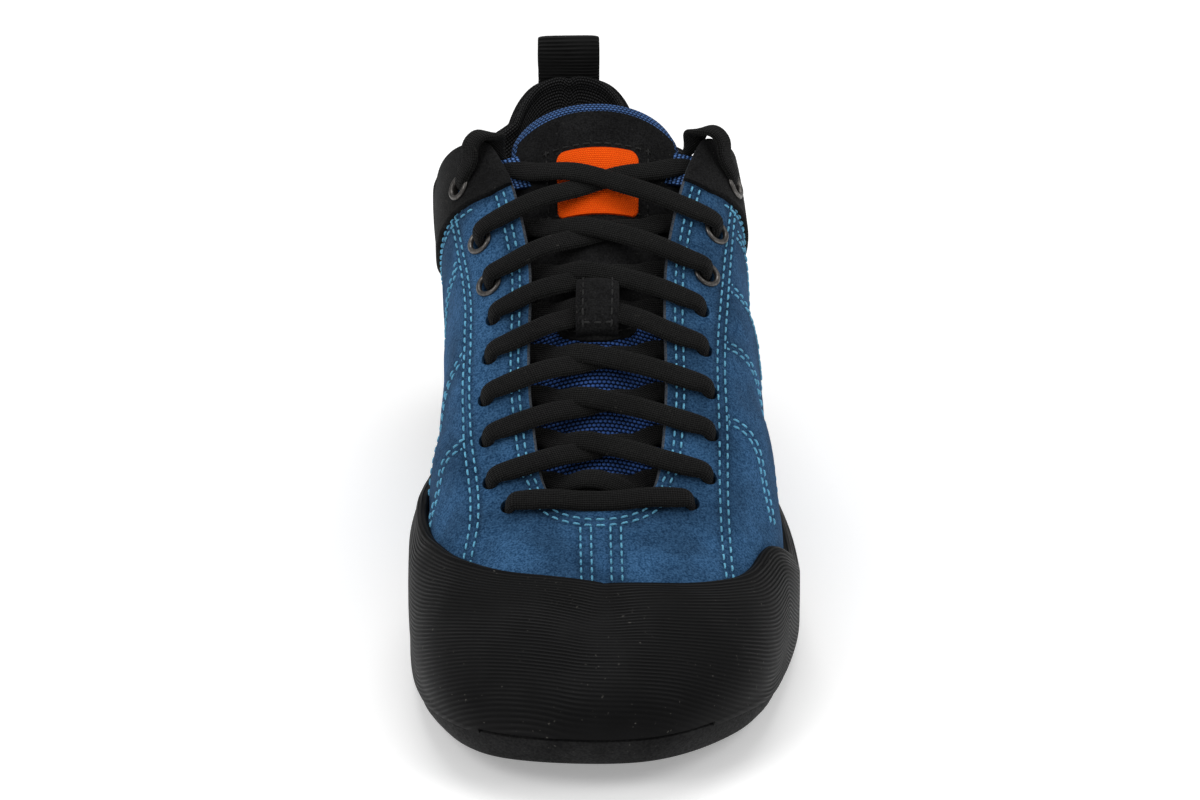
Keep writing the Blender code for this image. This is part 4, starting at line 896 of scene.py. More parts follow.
def loft(
    name: str,
    sections: Array,
    finishes: Sequence[Finish],
    wrap: bool = False,
    ring: bool = True,
    uv: tuple[Array, Array] | None = None,
    marks: dict[str, Array] | None = None,
    zones: Array | None = None,
    skip: Array | None = None,
) -> Piece:
    """Makes a mesh through rows of points.

    Args:
        name: The piece's name.
        sections: Points of the last's frame, by section and by point in it.
        finishes: The piece's materials.
        wrap: Whether the last section joins the first.
        ring: Whether each section is closed.
        uv: Distances across and up the cloth for each point, where they aren't the plain ones.
        marks: Values kept on the points, by name.
        zones: Which finish each column of faces has, for all rows or for each.
        skip: Faces left out, where both sides of the piece are joined along the ridge.

    Returns:
        The object, linked to the scene.
    """
    rows, columns = sections.shape[:2]
    closed = np.concatenate([sections, sections[:1]]) if wrap else sections
    closed = np.concatenate([closed, closed[:, :1]], axis=1) if ring else closed
    if uv is None:
        run = lengths(closed, 0).mean(axis=1, keepdims=True)
        uv = (np.broadcast_to(run, closed.shape[:2]), lengths(closed, 1))
    count_i, count_j = closed.shape[0] - 1, closed.shape[1] - 1
    i, j = (g.ravel() for g in np.meshgrid(np.arange(count_i), np.arange(count_j), indexing="ij"))
    corners = [(i, j), (i + 1, j), (i + 1, j + 1), (i, j + 1)]
    faces = np.stack([(a % rows) * columns + b % columns for a, b in corners], axis=1)
    spots = np.stack([np.stack([uv[0][a, b], uv[1][a, b]], axis=1) for a, b in corners], axis=1)
    kept = np.ones(len(faces), bool) if skip is None else ~skip.ravel()
    faces, spots = faces[kept], spots[kept]
    polygons = faces.tolist()
    if ring and not wrap:
        polygons.append(list(range(columns)))
        polygons.append([(rows - 1) * columns + k for k in range(columns - 1, -1, -1)])
        ends = np.zeros((2 * columns, 2))
        spots = np.concatenate([spots.reshape(-1, 2), ends])
    mesh = bpy.data.meshes.new(name)
    mesh.from_pydata(LAST.in_frame(sections.reshape(-1, 3)).tolist(), [], polygons)
    mesh.uv_layers.new(name="cloth").data.foreach_set("uv", spots.reshape(-1))
    for key, values in (marks or {}).items():
        mesh.attributes.new(key, "FLOAT", "POINT").data.foreach_set("value", values.astype(float).ravel())
    for finish in finishes:
        mesh.materials.append(finish.make())
    if zones is not None:
        chosen = np.broadcast_to(zones, (count_i, count_j)).ravel()[kept]
        extra = len(polygons) - len(chosen)
        mesh.polygons.foreach_set("material_index", np.concatenate([chosen, np.zeros(extra, int)]))
    with editing(mesh) as shape:
        if skip is not None:
            bmesh.ops.delete(shape, geom=[v for v in shape.verts if not v.link_faces], context="VERTS")
            bmesh.ops.remove_doubles(shape, verts=shape.verts, dist=0.00002)
        bmesh.ops.recalc_face_normals(shape, faces=shape.faces)
    shade(mesh)
    return add_object(name, mesh)


def over_ridge(sections: Array, outer_rows: int, joined: Array, wrap: bool, steps: int = 3) -> Array:
    """Joins the two sides of a rounded sheet where both reach the ridge.

    Args:
        sections: Sections from rounded, changed in place.
        outer_rows: How many points of each are on the outer face.
        joined: For each section whether it reaches the ridge.
        wrap: Whether the last section joins the first.
        steps: Points round the upper edge.

    Returns:
        The faces to leave out.
    """
    start, end = sections[joined, outer_rows - 1], sections[joined, outer_rows + steps]
    for k in range(steps):
        sections[joined, outer_rows + k] = start + (end - start) * (k + 1) / (steps + 1)
    both = joined & np.roll(joined, -1)
    both = both if wrap else both[:-1]
    skip = np.zeros((len(both), sections.shape[1]), bool)
    skip[both, outer_rows - 1 : outer_rows + steps] = True
    return skip


def rounded(outer: Array, inner: Array, steps: int = 3) -> Array:
    """Closes two faces of a sheet into rings.

    Args:
        outer: Points of the outer face, by section and from the lower edge to the upper.
        inner: Points of the inner face in the same order.
        steps: Points round each edge.

    Returns:
        Ring sections with rounded edges.
    """

    def rim(start: Array, end: Array, ahead: Array) -> Array:
        """Half a circle from one face to the other."""
        centre, arm = 0.5 * (start + end), 0.5 * (start - end)
        bulge = unit(ahead) * np.linalg.norm(arm, axis=-1, keepdims=True)
        angles = [math.pi * k / (steps + 1) for k in range(1, steps + 1)]
        return np.stack([centre + arm * math.cos(a) + bulge * math.sin(a) for a in angles], axis=1)

    top = rim(outer[:, -1], inner[:, -1], outer[:, -1] - outer[:, -2])
    bottom = rim(inner[:, 0], outer[:, 0], outer[:, 0] - outer[:, 1])
    return np.concatenate([outer, top, inner[:, ::-1], bottom], axis=1)


def settle(piece: Piece, slot: str, *nodes: str) -> Piece:
    """Makes a piece ride on the shoe and stand for its CAD nodes.

    Args:
        piece: The piece.
        slot: Not used.
        nodes: The CAD nodes that it replaces.

    Returns:
        The piece.
    """
    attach(piece, BODY)
    if nodes:
        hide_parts(*nodes)
    LOG.info("%s: %d faces", piece.name, len(piece.data.polygons))
    return piece


def punch(piece: Piece, rows: Table, radius: float) -> None:
    """Cuts lace holes through a piece.

    Args:
        piece: The piece.
        rows: Along and half of the holes.
        radius: The holes' radius.
    """
    mesh = bpy.data.meshes.new("hole_tool")
    with editing(mesh) as shape:
        for along, half in rows:
            for side in Side:
                place, share = LAST.spot([along], half, side.value)
                point, normal = LAST.in_frame(LAST.point(place, share))[0], LAST.normal(place, share)[0]
                turn = Vector(normal).to_track_quat("Z", "Y").to_matrix().to_4x4()
                bmesh.ops.create_cone(shape, cap_ends=True, segments=28, radius1=radius, radius2=radius,
                                      depth=HOLE_DEPTH, matrix=Matrix.Translation(Vector(point)) @ turn)
    tool = add_object("hole_tool", mesh)
    cut = piece.modifiers.new("holes", "BOOLEAN")
    cut.operation = "DIFFERENCE"
    cut.solver = "EXACT"
    cut.object = tool
    graph = bpy.context.evaluated_depsgraph_get()
    whole = bpy.data.meshes.new_from_object(piece.evaluated_get(graph), preserve_all_data_layers=True,
                                            depsgraph=graph)
    piece.modifiers.clear()
    piece.data = whole
    bpy.data.objects.remove(tool)
    shade(whole)


@dataclass(frozen=True)
class Crease:
    """A soft trough, or a ridge with a negative depth, between two spots of the upper."""

    start: tuple[float, float]
    end: tuple[float, float]
    side: Side
    width: float
    depth: float


@dataclass
class Upper:
    """The suede upper: one hollow wall, with the eyestay lapped over the side panels."""

    places: int = 470
    side_rows: int = 34
    eyestay_rows: int = 58
    inner_rows: int = 20
    lap: float = 0.0008
    lap_gap: float = 0.0015
    hole_radius: float = 0.0024
    thinned: float = 0.0011
    raw_end: float = 0.565
    creases: tuple[Crease, ...] = (
        Crease((0.255, 0.395), (0.330, 0.445), Side.MEDIAL, 0.0055, 0.0010),
        Crease((0.330, 0.375), (0.395, 0.430), Side.MEDIAL, 0.0060, 0.0010),
        Crease((0.420, 0.365), (0.470, 0.405), Side.MEDIAL, 0.0060, -0.0006),
        Crease((0.250, 0.400), (0.330, 0.470), Side.LATERAL, 0.0060, 0.0010),
        Crease((0.355, 0.395), (0.410, 0.460), Side.LATERAL, 0.0060, 0.0011),
        Crease((0.430, 0.380), (0.480, 0.440), Side.LATERAL, 0.0055, -0.0008),
        Crease((0.190, 0.255), (0.160, 0.330), Side.LATERAL, 0.0070, 0.0007),
        Crease((0.190, 0.260), (0.165, 0.320), Side.MEDIAL, 0.0070, 0.0007),
        Crease((0.150, 0.000), (0.118, 0.010), Side.LATERAL, 0.0016, 0.0006),
    )

    def round_places(self) -> Array:
        """Places round the shoe, closer together at the foot of the throat."""
        places = np.linspace(0.0, PLACES, self.places, endpoint=False)
        half = np.linspace(0.0, HEEL, 6001)
        start = float(np.interp(LAST.throat_start, LAST.ridge_reach(half), half))
        extra = start + np.array([0.0, 0.004, 0.010, 0.020, 0.034, 0.052, 0.075, 0.10, 0.13, 0.17])
        clear = np.abs(places[:, None] - np.concatenate([extra, PLACES - extra])).min(axis=1) > 0.012
        return np.sort(np.concatenate([places[clear], extra, PLACES - extra]))

    def seam_share(self, place: Array) -> Array:
        """Share at which each rib crosses the long seam."""
        lateral, medial = column_curve(LATERAL_SEAM, 1), column_curve(MEDIAL_SEAM, 1)

        def past(points: Array) -> Array:
            """Whether points lie inside the seam."""
            along = points[..., 1] / SOLE_LENGTH
            width = np.where(place <= HEEL, lateral(along), medial(along)) * BALL_WIDTH
            return LAST.from_ridge(points) <= width

        return LAST.share_where(place, past)

    def relief(self, points: Array) -> Array:
        """How far creases move the face, at points of the last."""
        moved = np.zeros(points.shape[:-1])
        for crease in self.creases:
            (a0, h0), (a1, h1) = crease.start, crease.end
            run = even(9)
            along, half = a0 + (a1 - a0) * run, h0 + (h1 - h0) * run
            line, _ = LAST.facing(along, half, crease.side.value)
            gaps = np.stack([np.linalg.norm(points - p, axis=-1) for p in line]).min(axis=0)
            moved -= crease.depth * np.exp(-((gaps / crease.width) ** 2))
        return moved

    def build(self) -> Piece:
        """Builds the wall, cuts its holes and dresses it."""
        place = self.round_places()
        edge = LAST.upper_edge(place)
        rear = smooth_step(0.54, 0.60, LAST.edge_y(place))
        seam = (1 - rear) * np.clip(self.seam_share(place), 0.02, edge - 0.02) + rear * 0.6 * edge
        low = even(self.side_rows)[None, :] * seam[:, None]
        high_run = even(self.eyestay_rows)[None, :]
        high = (seam + self.lap_gap)[:, None] + high_run * (edge - seam - self.lap_gap)[:, None]
        grid = place[:, None]
        fade = self.lap * (1 - smooth_step(0.50, 0.56, LAST.edge_y(place)))[:, None]
        low_face = LAST.out(grid, low, -fade + self.relief(LAST.point(grid, low)))
        high_face = LAST.out(grid, high, self.relief(LAST.point(grid, high)))
        outer = np.concatenate([low_face, high_face], axis=1)
        inner_run = even(self.inner_rows)[None, :]
        thin = self.thinned * smooth_step(0.86, 1.0, inner_run)
        inner = LAST.out(grid, inner_run * edge[:, None], thin - WALL)
        sections = rounded(outer, inner)
        last = outer.shape[1] - 1
        zones = np.full(sections.shape[:2], 2)
        zones[:, :last] = 0
        zones[LAST.edge_y(place) < self.raw_end, last : last + 4] = 1
        # The seam mark sinks the bump along the blue rows and darkens the colour there: painted shade with
        # some dirt.
        marks = {"seam": np.exp(-((distances(sections, SEAMS.trough) / SEAM_WIDTH) ** 2))}
        skip = over_ridge(sections, outer.shape[1], edge >= 1 - 1e-9, True)
        piece = loft("upper_suede", sections, (SUEDE, RAW_EDGE, LINING), True, True, None, marks, zones, skip)
        punch(piece, EYELET_ROWS, self.hole_radius)
        return settle(piece, "blue_suede", "upper")


@dataclass
class Rands:
    """The ribbed toe rand and the plain heel rand."""

    thick: float = 0.0026
    edge_thick: float = 0.0013
    heel_thick: float = 0.0018
    heel_low: float = 0.006
    end: float = 0.548
    heel_start: float = 0.70
    under: float = 0.0012
    steps: int = 301
    rows: int = 45
    skirt_rows: int = 4
    smooth_half: float = 0.036
    smooth_levels: tuple[float, float] = (0.019, 0.034)

    def toe(self) -> Piece:
        """Builds the toe rand, from the outsole up over the toe and back along the ball."""
        reach = LAST.place_at(self.end, Side.LATERAL)
        place = np.linspace(-reach, reach, self.steps)
        turned = np.where(place < 0, place + PLACES, place)
        ahead = LAST.edge_y(turned)
        lateral, medial = column_curve(RAND_ROWS, 1)(ahead), column_curve(RAND_ROWS, 2)(ahead)
        top = np.clip(np.where(place >= 0, lateral, medial), 0.0, 1.0)
        top = np.where(ahead <= 0.085, 1.0, top)
        top = top * (0.30 + 0.70 * smooth_step(0.0, 1.1, reach - np.abs(place)))
        run = even(self.rows) ** 0.9
        share = run[None, :] * top[:, None]
        grid = turned[:, None]
        ease = smooth_step(0.70, 1.0, run)[None, :]
        ends = smooth_step(0.0, 0.5, reach - np.abs(place))[:, None]
        thick = SEAT + 0.0002 + (self.thick * (1 - ease) + self.edge_thick * ease) * (0.15 + 0.85 * ends)
        outer = LAST.out(grid, share, thick)
        inner = LAST.out(grid, share[:, ::4], -self.under)
        fade = smooth_step(0.38, self.end, ahead)
        y = ahead * SOLE_LENGTH
        foot = (1 - fade) * (LAST.outsole_level(y) + GAP) + fade * (LAST.feather_level(y) - GAP)
        skirt = outer[:, :1].repeat(self.skirt_rows, axis=1)
        for k in range(self.skirt_rows):
            t = k / self.skirt_rows
            skirt[:, k, 2] = (1 - t) * foot + t * outer[:, 0, 2]
        outer = np.concatenate([skirt, outer], axis=1)
        inner_foot = inner[:, :1].copy()
        inner_foot[:, 0, 2] = foot
        inner = np.concatenate([inner_foot, inner], axis=1)
        sections = rounded(outer, inner)
        joined = top >= 1 - 1e-9
        skip = over_ridge(sections, outer.shape[1], joined, False)
        edge = smooth_path(sections[~joined, outer.shape[1] - 1], 0.0004)
        up = distances(sections, edge)
        up = np.concatenate([up, up[:, :1]], axis=1)
        across = np.broadcast_to(lengths(sections, 0).mean(axis=1, keepdims=True), up.shape)
        front = np.exp(-((sections[..., 0] / self.smooth_half) ** 2)) * (sections[..., 1] < 0.05)
        marks = {"worked": 1 - front * (1 - smooth_step(*self.smooth_levels, sections[..., 2]))}
        piece = loft("toe_rand_ribbed", sections, (RAND,), uv=(across, up), marks=marks, skip=skip)
        return settle(piece, "rand_rubber", "toe_rand")

    def heel(self) -> Piece:
        """Builds the heel rand, above the midsole."""
        start = LAST.place_at(self.heel_start, Side.LATERAL)
        place = np.linspace(start, PLACES - start, 150)
        ahead = LAST.edge_y(place)
        height = column_curve(COUNTER_ROWS, 1)(ahead) * INSTEP_HEIGHT
        top = LAST.share_at_height(place, height)
        run = even(26)
        share = self.heel_low + run[None, :] * (top[:, None] - self.heel_low)
        outer = LAST.out(place[:, None], share, SEAT + self.heel_thick * (1 - 0.3 * run[None, :] ** 4))
        inner = LAST.out(place[:, None], share[:, ::5], -SUNK)
        piece = loft("heel_rand_plain", rounded(outer, inner), (PLAIN_RUBBER,))
        return settle(piece, "rand_rubber", "heel_rand")

    def build(self) -> None:
        """Builds both rands."""
        self.toe()
        self.heel()


@dataclass
class Collar:
    """The black ankle panel, the padded lining and the pull loop."""

    panel_start: float = 0.527
    panel_thick: float = 0.0015
    panel_inset: float = 0.004
    panel_least: float = 0.030
    lining_start: float = 0.64
    lining_thick: float = 0.0082
    lining_edge: float = 0.0022
    lining_depth: float = 0.030
    dome: float = 0.0005
    loop_width: float = 0.0186
    loop_thick: float = 0.0016
    loop_rise: float = 0.0125
    loop_ribs: float = 0.16

    def panel(self) -> Piece:
        """Builds the ankle panel with its two ring holes."""
        start = LAST.place_at(self.panel_start, Side.LATERAL)
        place = np.linspace(start, PLACES - start, 380)
        edge = LAST.upper_edge(place) - self.panel_inset
        low = np.minimum(LAST.share_at_height(place, column_curve(BAND_ROWS, 1)), edge - self.panel_least)
        share = low[:, None] + even(43)[None, :] * (edge - low)[:, None]
        outer = LAST.out(place[:, None], share, self.panel_thick)
        inner = LAST.out(place[:, None], share[:, ::3], -SUNK)
        piece = loft("ankle_panel_nubuck", rounded(outer, inner), (NUBUCK,))
        punch(piece, EYELET_ROWS[-1:], 0.0025)
        return settle(piece, "black_nubuck", "ankle_panel")

    def lining(self) -> Piece:
        """Builds the padded lining with its raised back."""
        start = LAST.place_at(self.lining_start, Side.LATERAL)
        place = np.linspace(start, PLACES - start, 240)
        edge = LAST.upper_edge(place)
        level = LAST.point(place, edge)[:, 2] - self.lining_depth
        low = LAST.share_at_height(place, level)
        run = even(30)
        share = low[:, None] + run[None, :] * (edge - low)[:, None]
        near = 1 - np.minimum(place - start, PLACES - start - place) / 1.5
        ends = (1 - 0.65 * np.clip(near, 0.0, 1.0))[:, None]
        swell = np.sin(math.pi * np.clip(run, 0.0, 0.96) ** 1.5)[None, :]
        thick = self.lining_edge + (self.lining_thick - self.lining_edge) * swell * ends
        outer = LAST.out(place[:, None], share, -WALL - GAP)
        inner = LAST.out(place[:, None], share, -WALL - GAP - thick)
        back = np.abs(place - HEEL)
        rise = 0.0020 + self.dome * np.exp(-((back / 1.2) ** 4))
        lift = (smooth_step(0.55, 1.0, run)[None, :] * rise[:, None])[..., None] * np.array([0.0, 0.0, 1.0])
        sections = rounded(outer + lift, inner + lift, 7)
        fold = np.exp(-((sections[..., 0] / 0.0016) ** 2)) * (sections[..., 1] > 0.25)
        sections[..., 2] -= 0.0012 * fold * smooth_step(0.085, 0.095, sections[..., 2])
        piece = settle(loft("collar_pad", sections, (LINING,)), "lining_mesh", "collar_lining")
        return piece

    def loop(self) -> Piece:
        """Builds the ribbed webbing loop at the heel."""
        heel = np.array([HEEL])
        top = LAST.upper_edge(heel)
        seat = self.panel_thick + GAP + 0.5 * self.loop_thick
        leg = [LAST.out(heel, top - 0.12 * t, seat)[0] for t in (1.0, 0.667, 0.333, 0.0)]
        rear, back = LAST.point(heel, top)[0], leg[-1]
        front = rear[1] - 0.5 * WALL
        arch = [
            (0.0, back[1] + 0.0006, rear[2] + 0.35 * self.loop_rise),
            (0.0, back[1], rear[2] + 0.75 * self.loop_rise),
            (0.0, 0.5 * (back[1] + front), rear[2] + self.loop_rise),
            (0.0, front - 0.0008, rear[2] + 0.75 * self.loop_rise),
            (0.0, front - 0.0004, rear[2] + 0.35 * self.loop_rise),
            (0.0, front, rear[2] + 0.0009),
        ]
        path = smooth_path(np.array(leg + arch), 0.0004)
        ahead = unit(np.gradient(path, axis=0))
        out = np.cross(ahead, np.array([1.0, 0.0, 0.0]))
        wide, high = oval(28, self.loop_width, self.loop_thick, (0.35, 0.7))
        ribs = 1 + self.loop_ribs * np.sin(FULL_TURN * lengths(path, 0) / WEBBING.pitch)
        sections = path[:, None] + wide[None, :, None] * np.array([1.0, 0.0, 0.0])
        sections = sections + (high[None, :] * ribs[:, None])[..., None] * out[:, None]
        shape = (len(path), len(wide) + 1)
        up = np.broadcast_to(lengths(path, 0)[:, None], shape)
        across = np.broadcast_to(np.linspace(0.0, 0.04, shape[1])[None, :], shape)
        return settle(loft("heel_loop", sections, (WEBBING,), uv=(across, up)), "webbing_black", "pull_loop")

    def build(self) -> None:
        """Builds the panel, the lining and the loop."""
        self.panel()
        self.lining()
        self.loop()


@dataclass
class Tongue:
    """The padded tongue with its mesh band, nubuck panel, orange patch and lace keeper."""

    thick: float = 0.0062
    edge: float = 0.0024
    sink: float = 0.0074
    start: float = 0.180
    top: float = 0.598
    band: float = 0.0135
    panel_start: float = 0.366
    panel_thick: float = 0.0008
    patch: tuple[float, float] = (0.488, 0.552)
    patch_half: float = 0.106
    keeper: tuple[float, float] = (0.370, 0.419)
    keeper_half: float = 0.045
    keeper_rise: float = 0.0052
    patch_corner: float = 0.0022
    patch_thick: float = 0.0006
    strap_thick: float = 0.0012

    def __post_init__(self) -> None:
        """Makes the tongue's curves."""
        self.half = column_curve(TONGUE_ROWS, 1)
        self.crown = column_curve(TONGUE_ROWS, 2)
        self.fall = Curve((0.180, 0.520, 0.560, 0.600), (2.5, 2.3, 1.35, 1.0))

    def stand(self, along: Array, across: Array) -> Array:
        """How far the tongue's face is set out from the last."""
        round_off = np.maximum(0.0, 1 - across**2) ** self.fall(along)
        return -self.sink + self.crown(along) * LACE_THICK * round_off

    def face(self, along: Array, half: Array, out: Array | float) -> Array:
        """Points set out from the tongue's face.

        Args:
            along: Shares of the sole's length.
            half: Signed shares of the ball's width from the ridge, lateral above 0.
            out: How far they are set out.

        Returns:
            The points.
        """
        along, half, out = together(along, half, out)
        point, normal = LAST.facing(along, np.abs(half), np.where(half >= 0, 1.0, -1.0))
        across = np.clip(half / self.half(along), -1.0, 1.0)
        return point + normal * (self.stand(along, across) + out)[..., None]

    @staticmethod
    def cloth(sections: Array, middle: int) -> tuple[Array, Array]:
        """Distances across the cloth, and up it along its middle column."""
        closed = np.concatenate([sections, sections[:, :1]], axis=1)
        up = lengths(closed, 0)[:, middle : middle + 1]
        return lengths(closed, 1), np.broadcast_to(up, closed.shape[:2])

    def pad(self) -> Piece:
        """Builds the padded body, mesh below and open mesh in the band at its top."""
        run = even(110)
        across = np.linspace(1.0, -1.0, 49)
        top = self.top - 0.004 * np.abs(across) ** 4
        along = self.start + run[:, None] * (top[None, :] - self.start)
        half = across[None, :] * self.half(along)
        taper = np.sin(0.5 * math.pi * np.clip(np.minimum(run / 0.03, (1.0 - run) / 0.028), 0.0, 1.0))
        swell = np.sqrt(np.maximum(0.0, 1 - across**4))
        thick = self.edge + (self.thick - self.edge) * swell[None, :] * (0.25 + 0.75 * taper[:, None])
        roll = 0.0010 * (1 - taper[:, None]) * (run[:, None] > 0.5)
        outer = self.face(along, half, -roll)
        inner = self.face(along, half, -thick)
        sections = rounded(outer, inner, 4)
        zones = np.zeros((len(run) - 1, sections.shape[1]), int)
        zones[run[:-1] > 1 - self.band / (self.top * SOLE_LENGTH)] = 1
        middle = len(across) // 2
        width, up = self.cloth(sections, middle)
        uv = (width - width[:, middle : middle + 1], up)
        piece = loft("tongue_pad", sections, (TONGUE_MESH, BAND_MESH), uv=uv, zones=zones)
        settle(piece, "navy_mesh", "tongue")
        return piece

    def sheet(self, name: str, along: Array, half: Array, thick: float, finish: Finish, lift: float = GAP,
              rise: Array | float = 0.0, bend: float = 0.0) -> Piece:
        """Builds a thin piece on the tongue's face.

        Args:
            name: The piece's name.
            along: Where its rows are.
            half: Half width of each row.
            thick: Its thickness.
            finish: Its material.
            lift: Its distance from the tongue.
            rise: Extra height of each row.
            bend: How far the upper edge bends down at its sides.

        Returns:
            The object.
        """
        across = np.linspace(1.0, -1.0, 41)
        run = np.linspace(0.0, 1.0, len(along))[:, None]
        rows = along[:, None] - bend * np.abs(across[None, :]) ** 3 * run
        wide = half[:, None] * across[None, :]
        height = np.broadcast_to(np.asarray(rise, float).reshape(-1, 1), rows.shape)
        outer = self.face(rows, wide, lift + thick + height)
        inner = self.face(rows[:, ::4], wide[:, ::4], lift - 0.0002 + height[:, ::4])
        sections = rounded(outer, inner)
        return loft(name, sections, (finish,), uv=self.cloth(sections, len(across) // 2))

    def gussets(self) -> None:
        """Builds the mesh strips beside the tongue, inside the top of the throat."""
        for side in Side:
            along = np.linspace(0.530, 0.566, 16)[:, None]
            half = LAST.throat(along) + np.linspace(-0.050, 0.030, 9)[None, :]
            along = np.broadcast_to(along, half.shape)
            point, normal = LAST.facing(along, half, side.value)
            deep = np.linspace(0.0052, WALL + 0.0006, 9)[None, :, None]
            sections = rounded(point - normal * deep, point - normal * (deep + 0.0008))
            settle(loft(f"gusset_{side.word}", sections, (BAND_MESH,)), "navy_mesh")

    def build(self) -> None:
        """Builds the pad and what is sewn on it."""
        self.pad()
        along = np.linspace(self.panel_start, self.top - self.band, 90)
        shape = Curve((0.366, 0.373, 0.384, 0.397, 0.410, 0.430, 0.460, 0.500, 0.540, 0.570, 0.5825),
                      (0.020, 0.075, 0.104, 0.118, 0.145, 0.200, 0.245, 0.255, 0.248, 0.232, 0.218))
        panel = self.sheet("tongue_panel", along, shape(along), self.panel_thick, NUBUCK, 0.0001, bend=0.006)
        settle(panel, "black_nubuck")
        low, high = self.patch
        along = low + (high - 0.004 - low) * (0.5 - 0.5 * np.cos(np.linspace(0.0, math.pi, 34)))
        corner = self.patch_corner / SOLE_LENGTH
        reach = np.clip(1 - np.minimum(along - along[0], along[-1] - along) / corner, 0.0, 1.0)
        half = self.patch_half - 0.020 * (1 - np.sqrt(1 - reach**2))
        patch = self.sheet("patch_orange", along, half, self.patch_thick, ORANGE, 0.0009)
        settle(patch, "orange_weave", "tongue_patch")
        self.gussets()
        turn = np.linspace(0.0, math.pi, 48)
        along = self.keeper[0] + (self.keeper[1] - self.keeper[0]) * (0.5 - 0.5 * np.cos(turn))
        rise = self.keeper_rise * np.sin(math.pi * (0.5 - 0.5 * np.cos(turn))) ** 0.38
        keeper = self.sheet("keeper_strap", along, np.full(48, self.keeper_half + 0.003),
                            self.strap_thick, NUBUCK, 0.0008, rise)
        settle(keeper, "black_nubuck", "lace_keeper")


@dataclass
class Laces:
    """The flat braided lace: bar, eight crossings and two free ends."""

    step: float = 0.0009
    over: float = 0.0020
    shift: tuple[float, ...] = (0.0, 0.0, 0.0, 0.0, 0.005, 0.0, 0.0, -0.008)
    cover: tuple[float, ...] = (0.0006, 0.0006, 0.0006, 0.0006, 0.0003, 0.0006, 0.0009, 0.0012)
    bar_bow: float = 0.007
    lift: float = 0.0005
    under: float = 0.0009
    under_start: float = 0.034
    hole_depth: float = 0.0040
    arch_share: float = 0.7
    inner_reach: float = 0.030
    first_ring: int = 6
    ring_lift: float = 0.0010

    def route(self, points: Array, across: Array, shares: Array) -> Strand:
        """A strand's points, sideways directions and shares, evenly spaced along it."""
        path = smooth_path(np.column_stack([points, across, shares]), self.step)
        return path[:, :3], path[:, 3:6], path[:, 6:]

    def ribbon(self, name: str, strands: Sequence[Strand]) -> Piece:
        """Makes flat oval cord.

        Args:
            name: The piece's name.
            strands: For each strand its path, its sideways directions, and width and thickness shares.

        Returns:
            All the strands as one object.
        """
        made = []
        wide, high = oval(26, LACE_WIDTH, LACE_THICK, (0.62, 0.9))
        for path, across, shares in strands:
            ahead = unit(np.gradient(path, axis=0))
            across = unit(across - (across * ahead).sum(axis=1, keepdims=True) * ahead)
            thin = np.cross(ahead, across)
            width = shares[:, :1] * wide[None, :]
            height = shares[:, 1:] * high[None, :]
            sections = path[:, None] + width[..., None] * across[:, None] + height[..., None] * thin[:, None]
            made.append(loft(name, sections, (CORD,)))
        if len(made) > 1:
            with bpy.context.temp_override(active_object=made[0], object=made[0], selected_objects=made,
                                           selected_editable_objects=made):
                bpy.ops.object.join()
        return made[0]

    def strand(self, index: int, side: Side) -> Strand:
        """One strand of a crossing.

        Args:
            index: The row that it leaves, from 0.
            side: The side that it leaves from.

        Returns:
            Its path, its sideways directions, and width and thickness shares.
        """
        (along_a, hole), (along_b, _) = EYELET_ROWS[index], EYELET_ROWS[index + 1]
        edge_a, edge_b = float(LAST.throat(along_a)), float(LAST.throat(along_b))
        half_lace = 0.5 * LACE_THICK
        top = half_lace + GAP
        under = -(WALL + self.under + half_lace)
        over = self.over if side is Side.LATERAL else 0.0
        ring = self.ring_lift if index >= self.first_ring else 0.0
        if index == 0:
            rows = [(edge_a + self.inner_reach, 0.0, under, 1.0, 1.0),
                    (edge_a - self.under_start, 0.13, under, 1.0, 1.0)]
        else:
            rows = [(hole + 0.004, 0.00, -self.hole_depth, 0.66, 1.15),
                    (hole + 0.001, 0.00, -0.0004, 0.70, 1.15),
                    (hole - 0.012, 0.015, top + 0.0002 + ring, 0.80, 1.10),
                    (hole - 0.040, 0.045, top + 0.0003 + 0.5 * ring, 0.96, 1.02),
                    (edge_a, 0.12, top + self.lift, 1.0, 1.0)]
        rows += [(0.62 * edge_a, 0.26, None, 1.0, 1.0), (0.30 * edge_a, 0.38, None, 1.0, 0.95),
                 (0.0, 0.5, None, 1.0, 0.90), (-0.30 * edge_b, 0.62, None, 1.0, 0.95),
                 (-0.62 * edge_b, 0.74, None, 1.0, 1.0),
                 (-(edge_b - self.under_start), 0.90, under, 1.0, 1.0),
                 (-(edge_b + self.inner_reach), 1.0, under, 1.0, 1.0)]
        half = np.array([row[0] for row in rows])
        along = along_a + (along_b - along_a) * np.array([row[1] for row in rows])
        along = along + self.shift[index] * np.maximum(0.0, 1 - (half / edge_b) ** 2)
        facing = side.value * np.where(half >= 0, 1.0, -1.0)
        base, normal = LAST.facing(along, np.abs(half), facing)
        rest = TONGUE.stand(along, np.clip(np.abs(half) / TONGUE.half(along), 0.0, 1.0))
        bow = np.maximum(0.0, 1 - (half / (self.arch_share * edge_b)) ** 2)
        rest = rest + GAP + half_lace + self.cover[index] + over * bow
        out = np.array([rest[k] if row[2] is None else row[2] for k, row in enumerate(rows)])
        if index:
            middle = len(rows) - 5
            for k, share in ((middle - 2, 0.36), (middle - 1, 0.70 if side is Side.LATERAL else 0.85)):
                taut = out[middle - 3] + (out[middle] - out[middle - 3]) * share
                out[k] = max(out[k], taut)
        travel = np.gradient(base, axis=0)
        travel[0] = travel[1] if index else travel[0]
        across = unit(np.cross(normal, travel))
        shares = np.array([row[3:] for row in rows])
        return self.route(base + normal * out[:, None], across, shares)

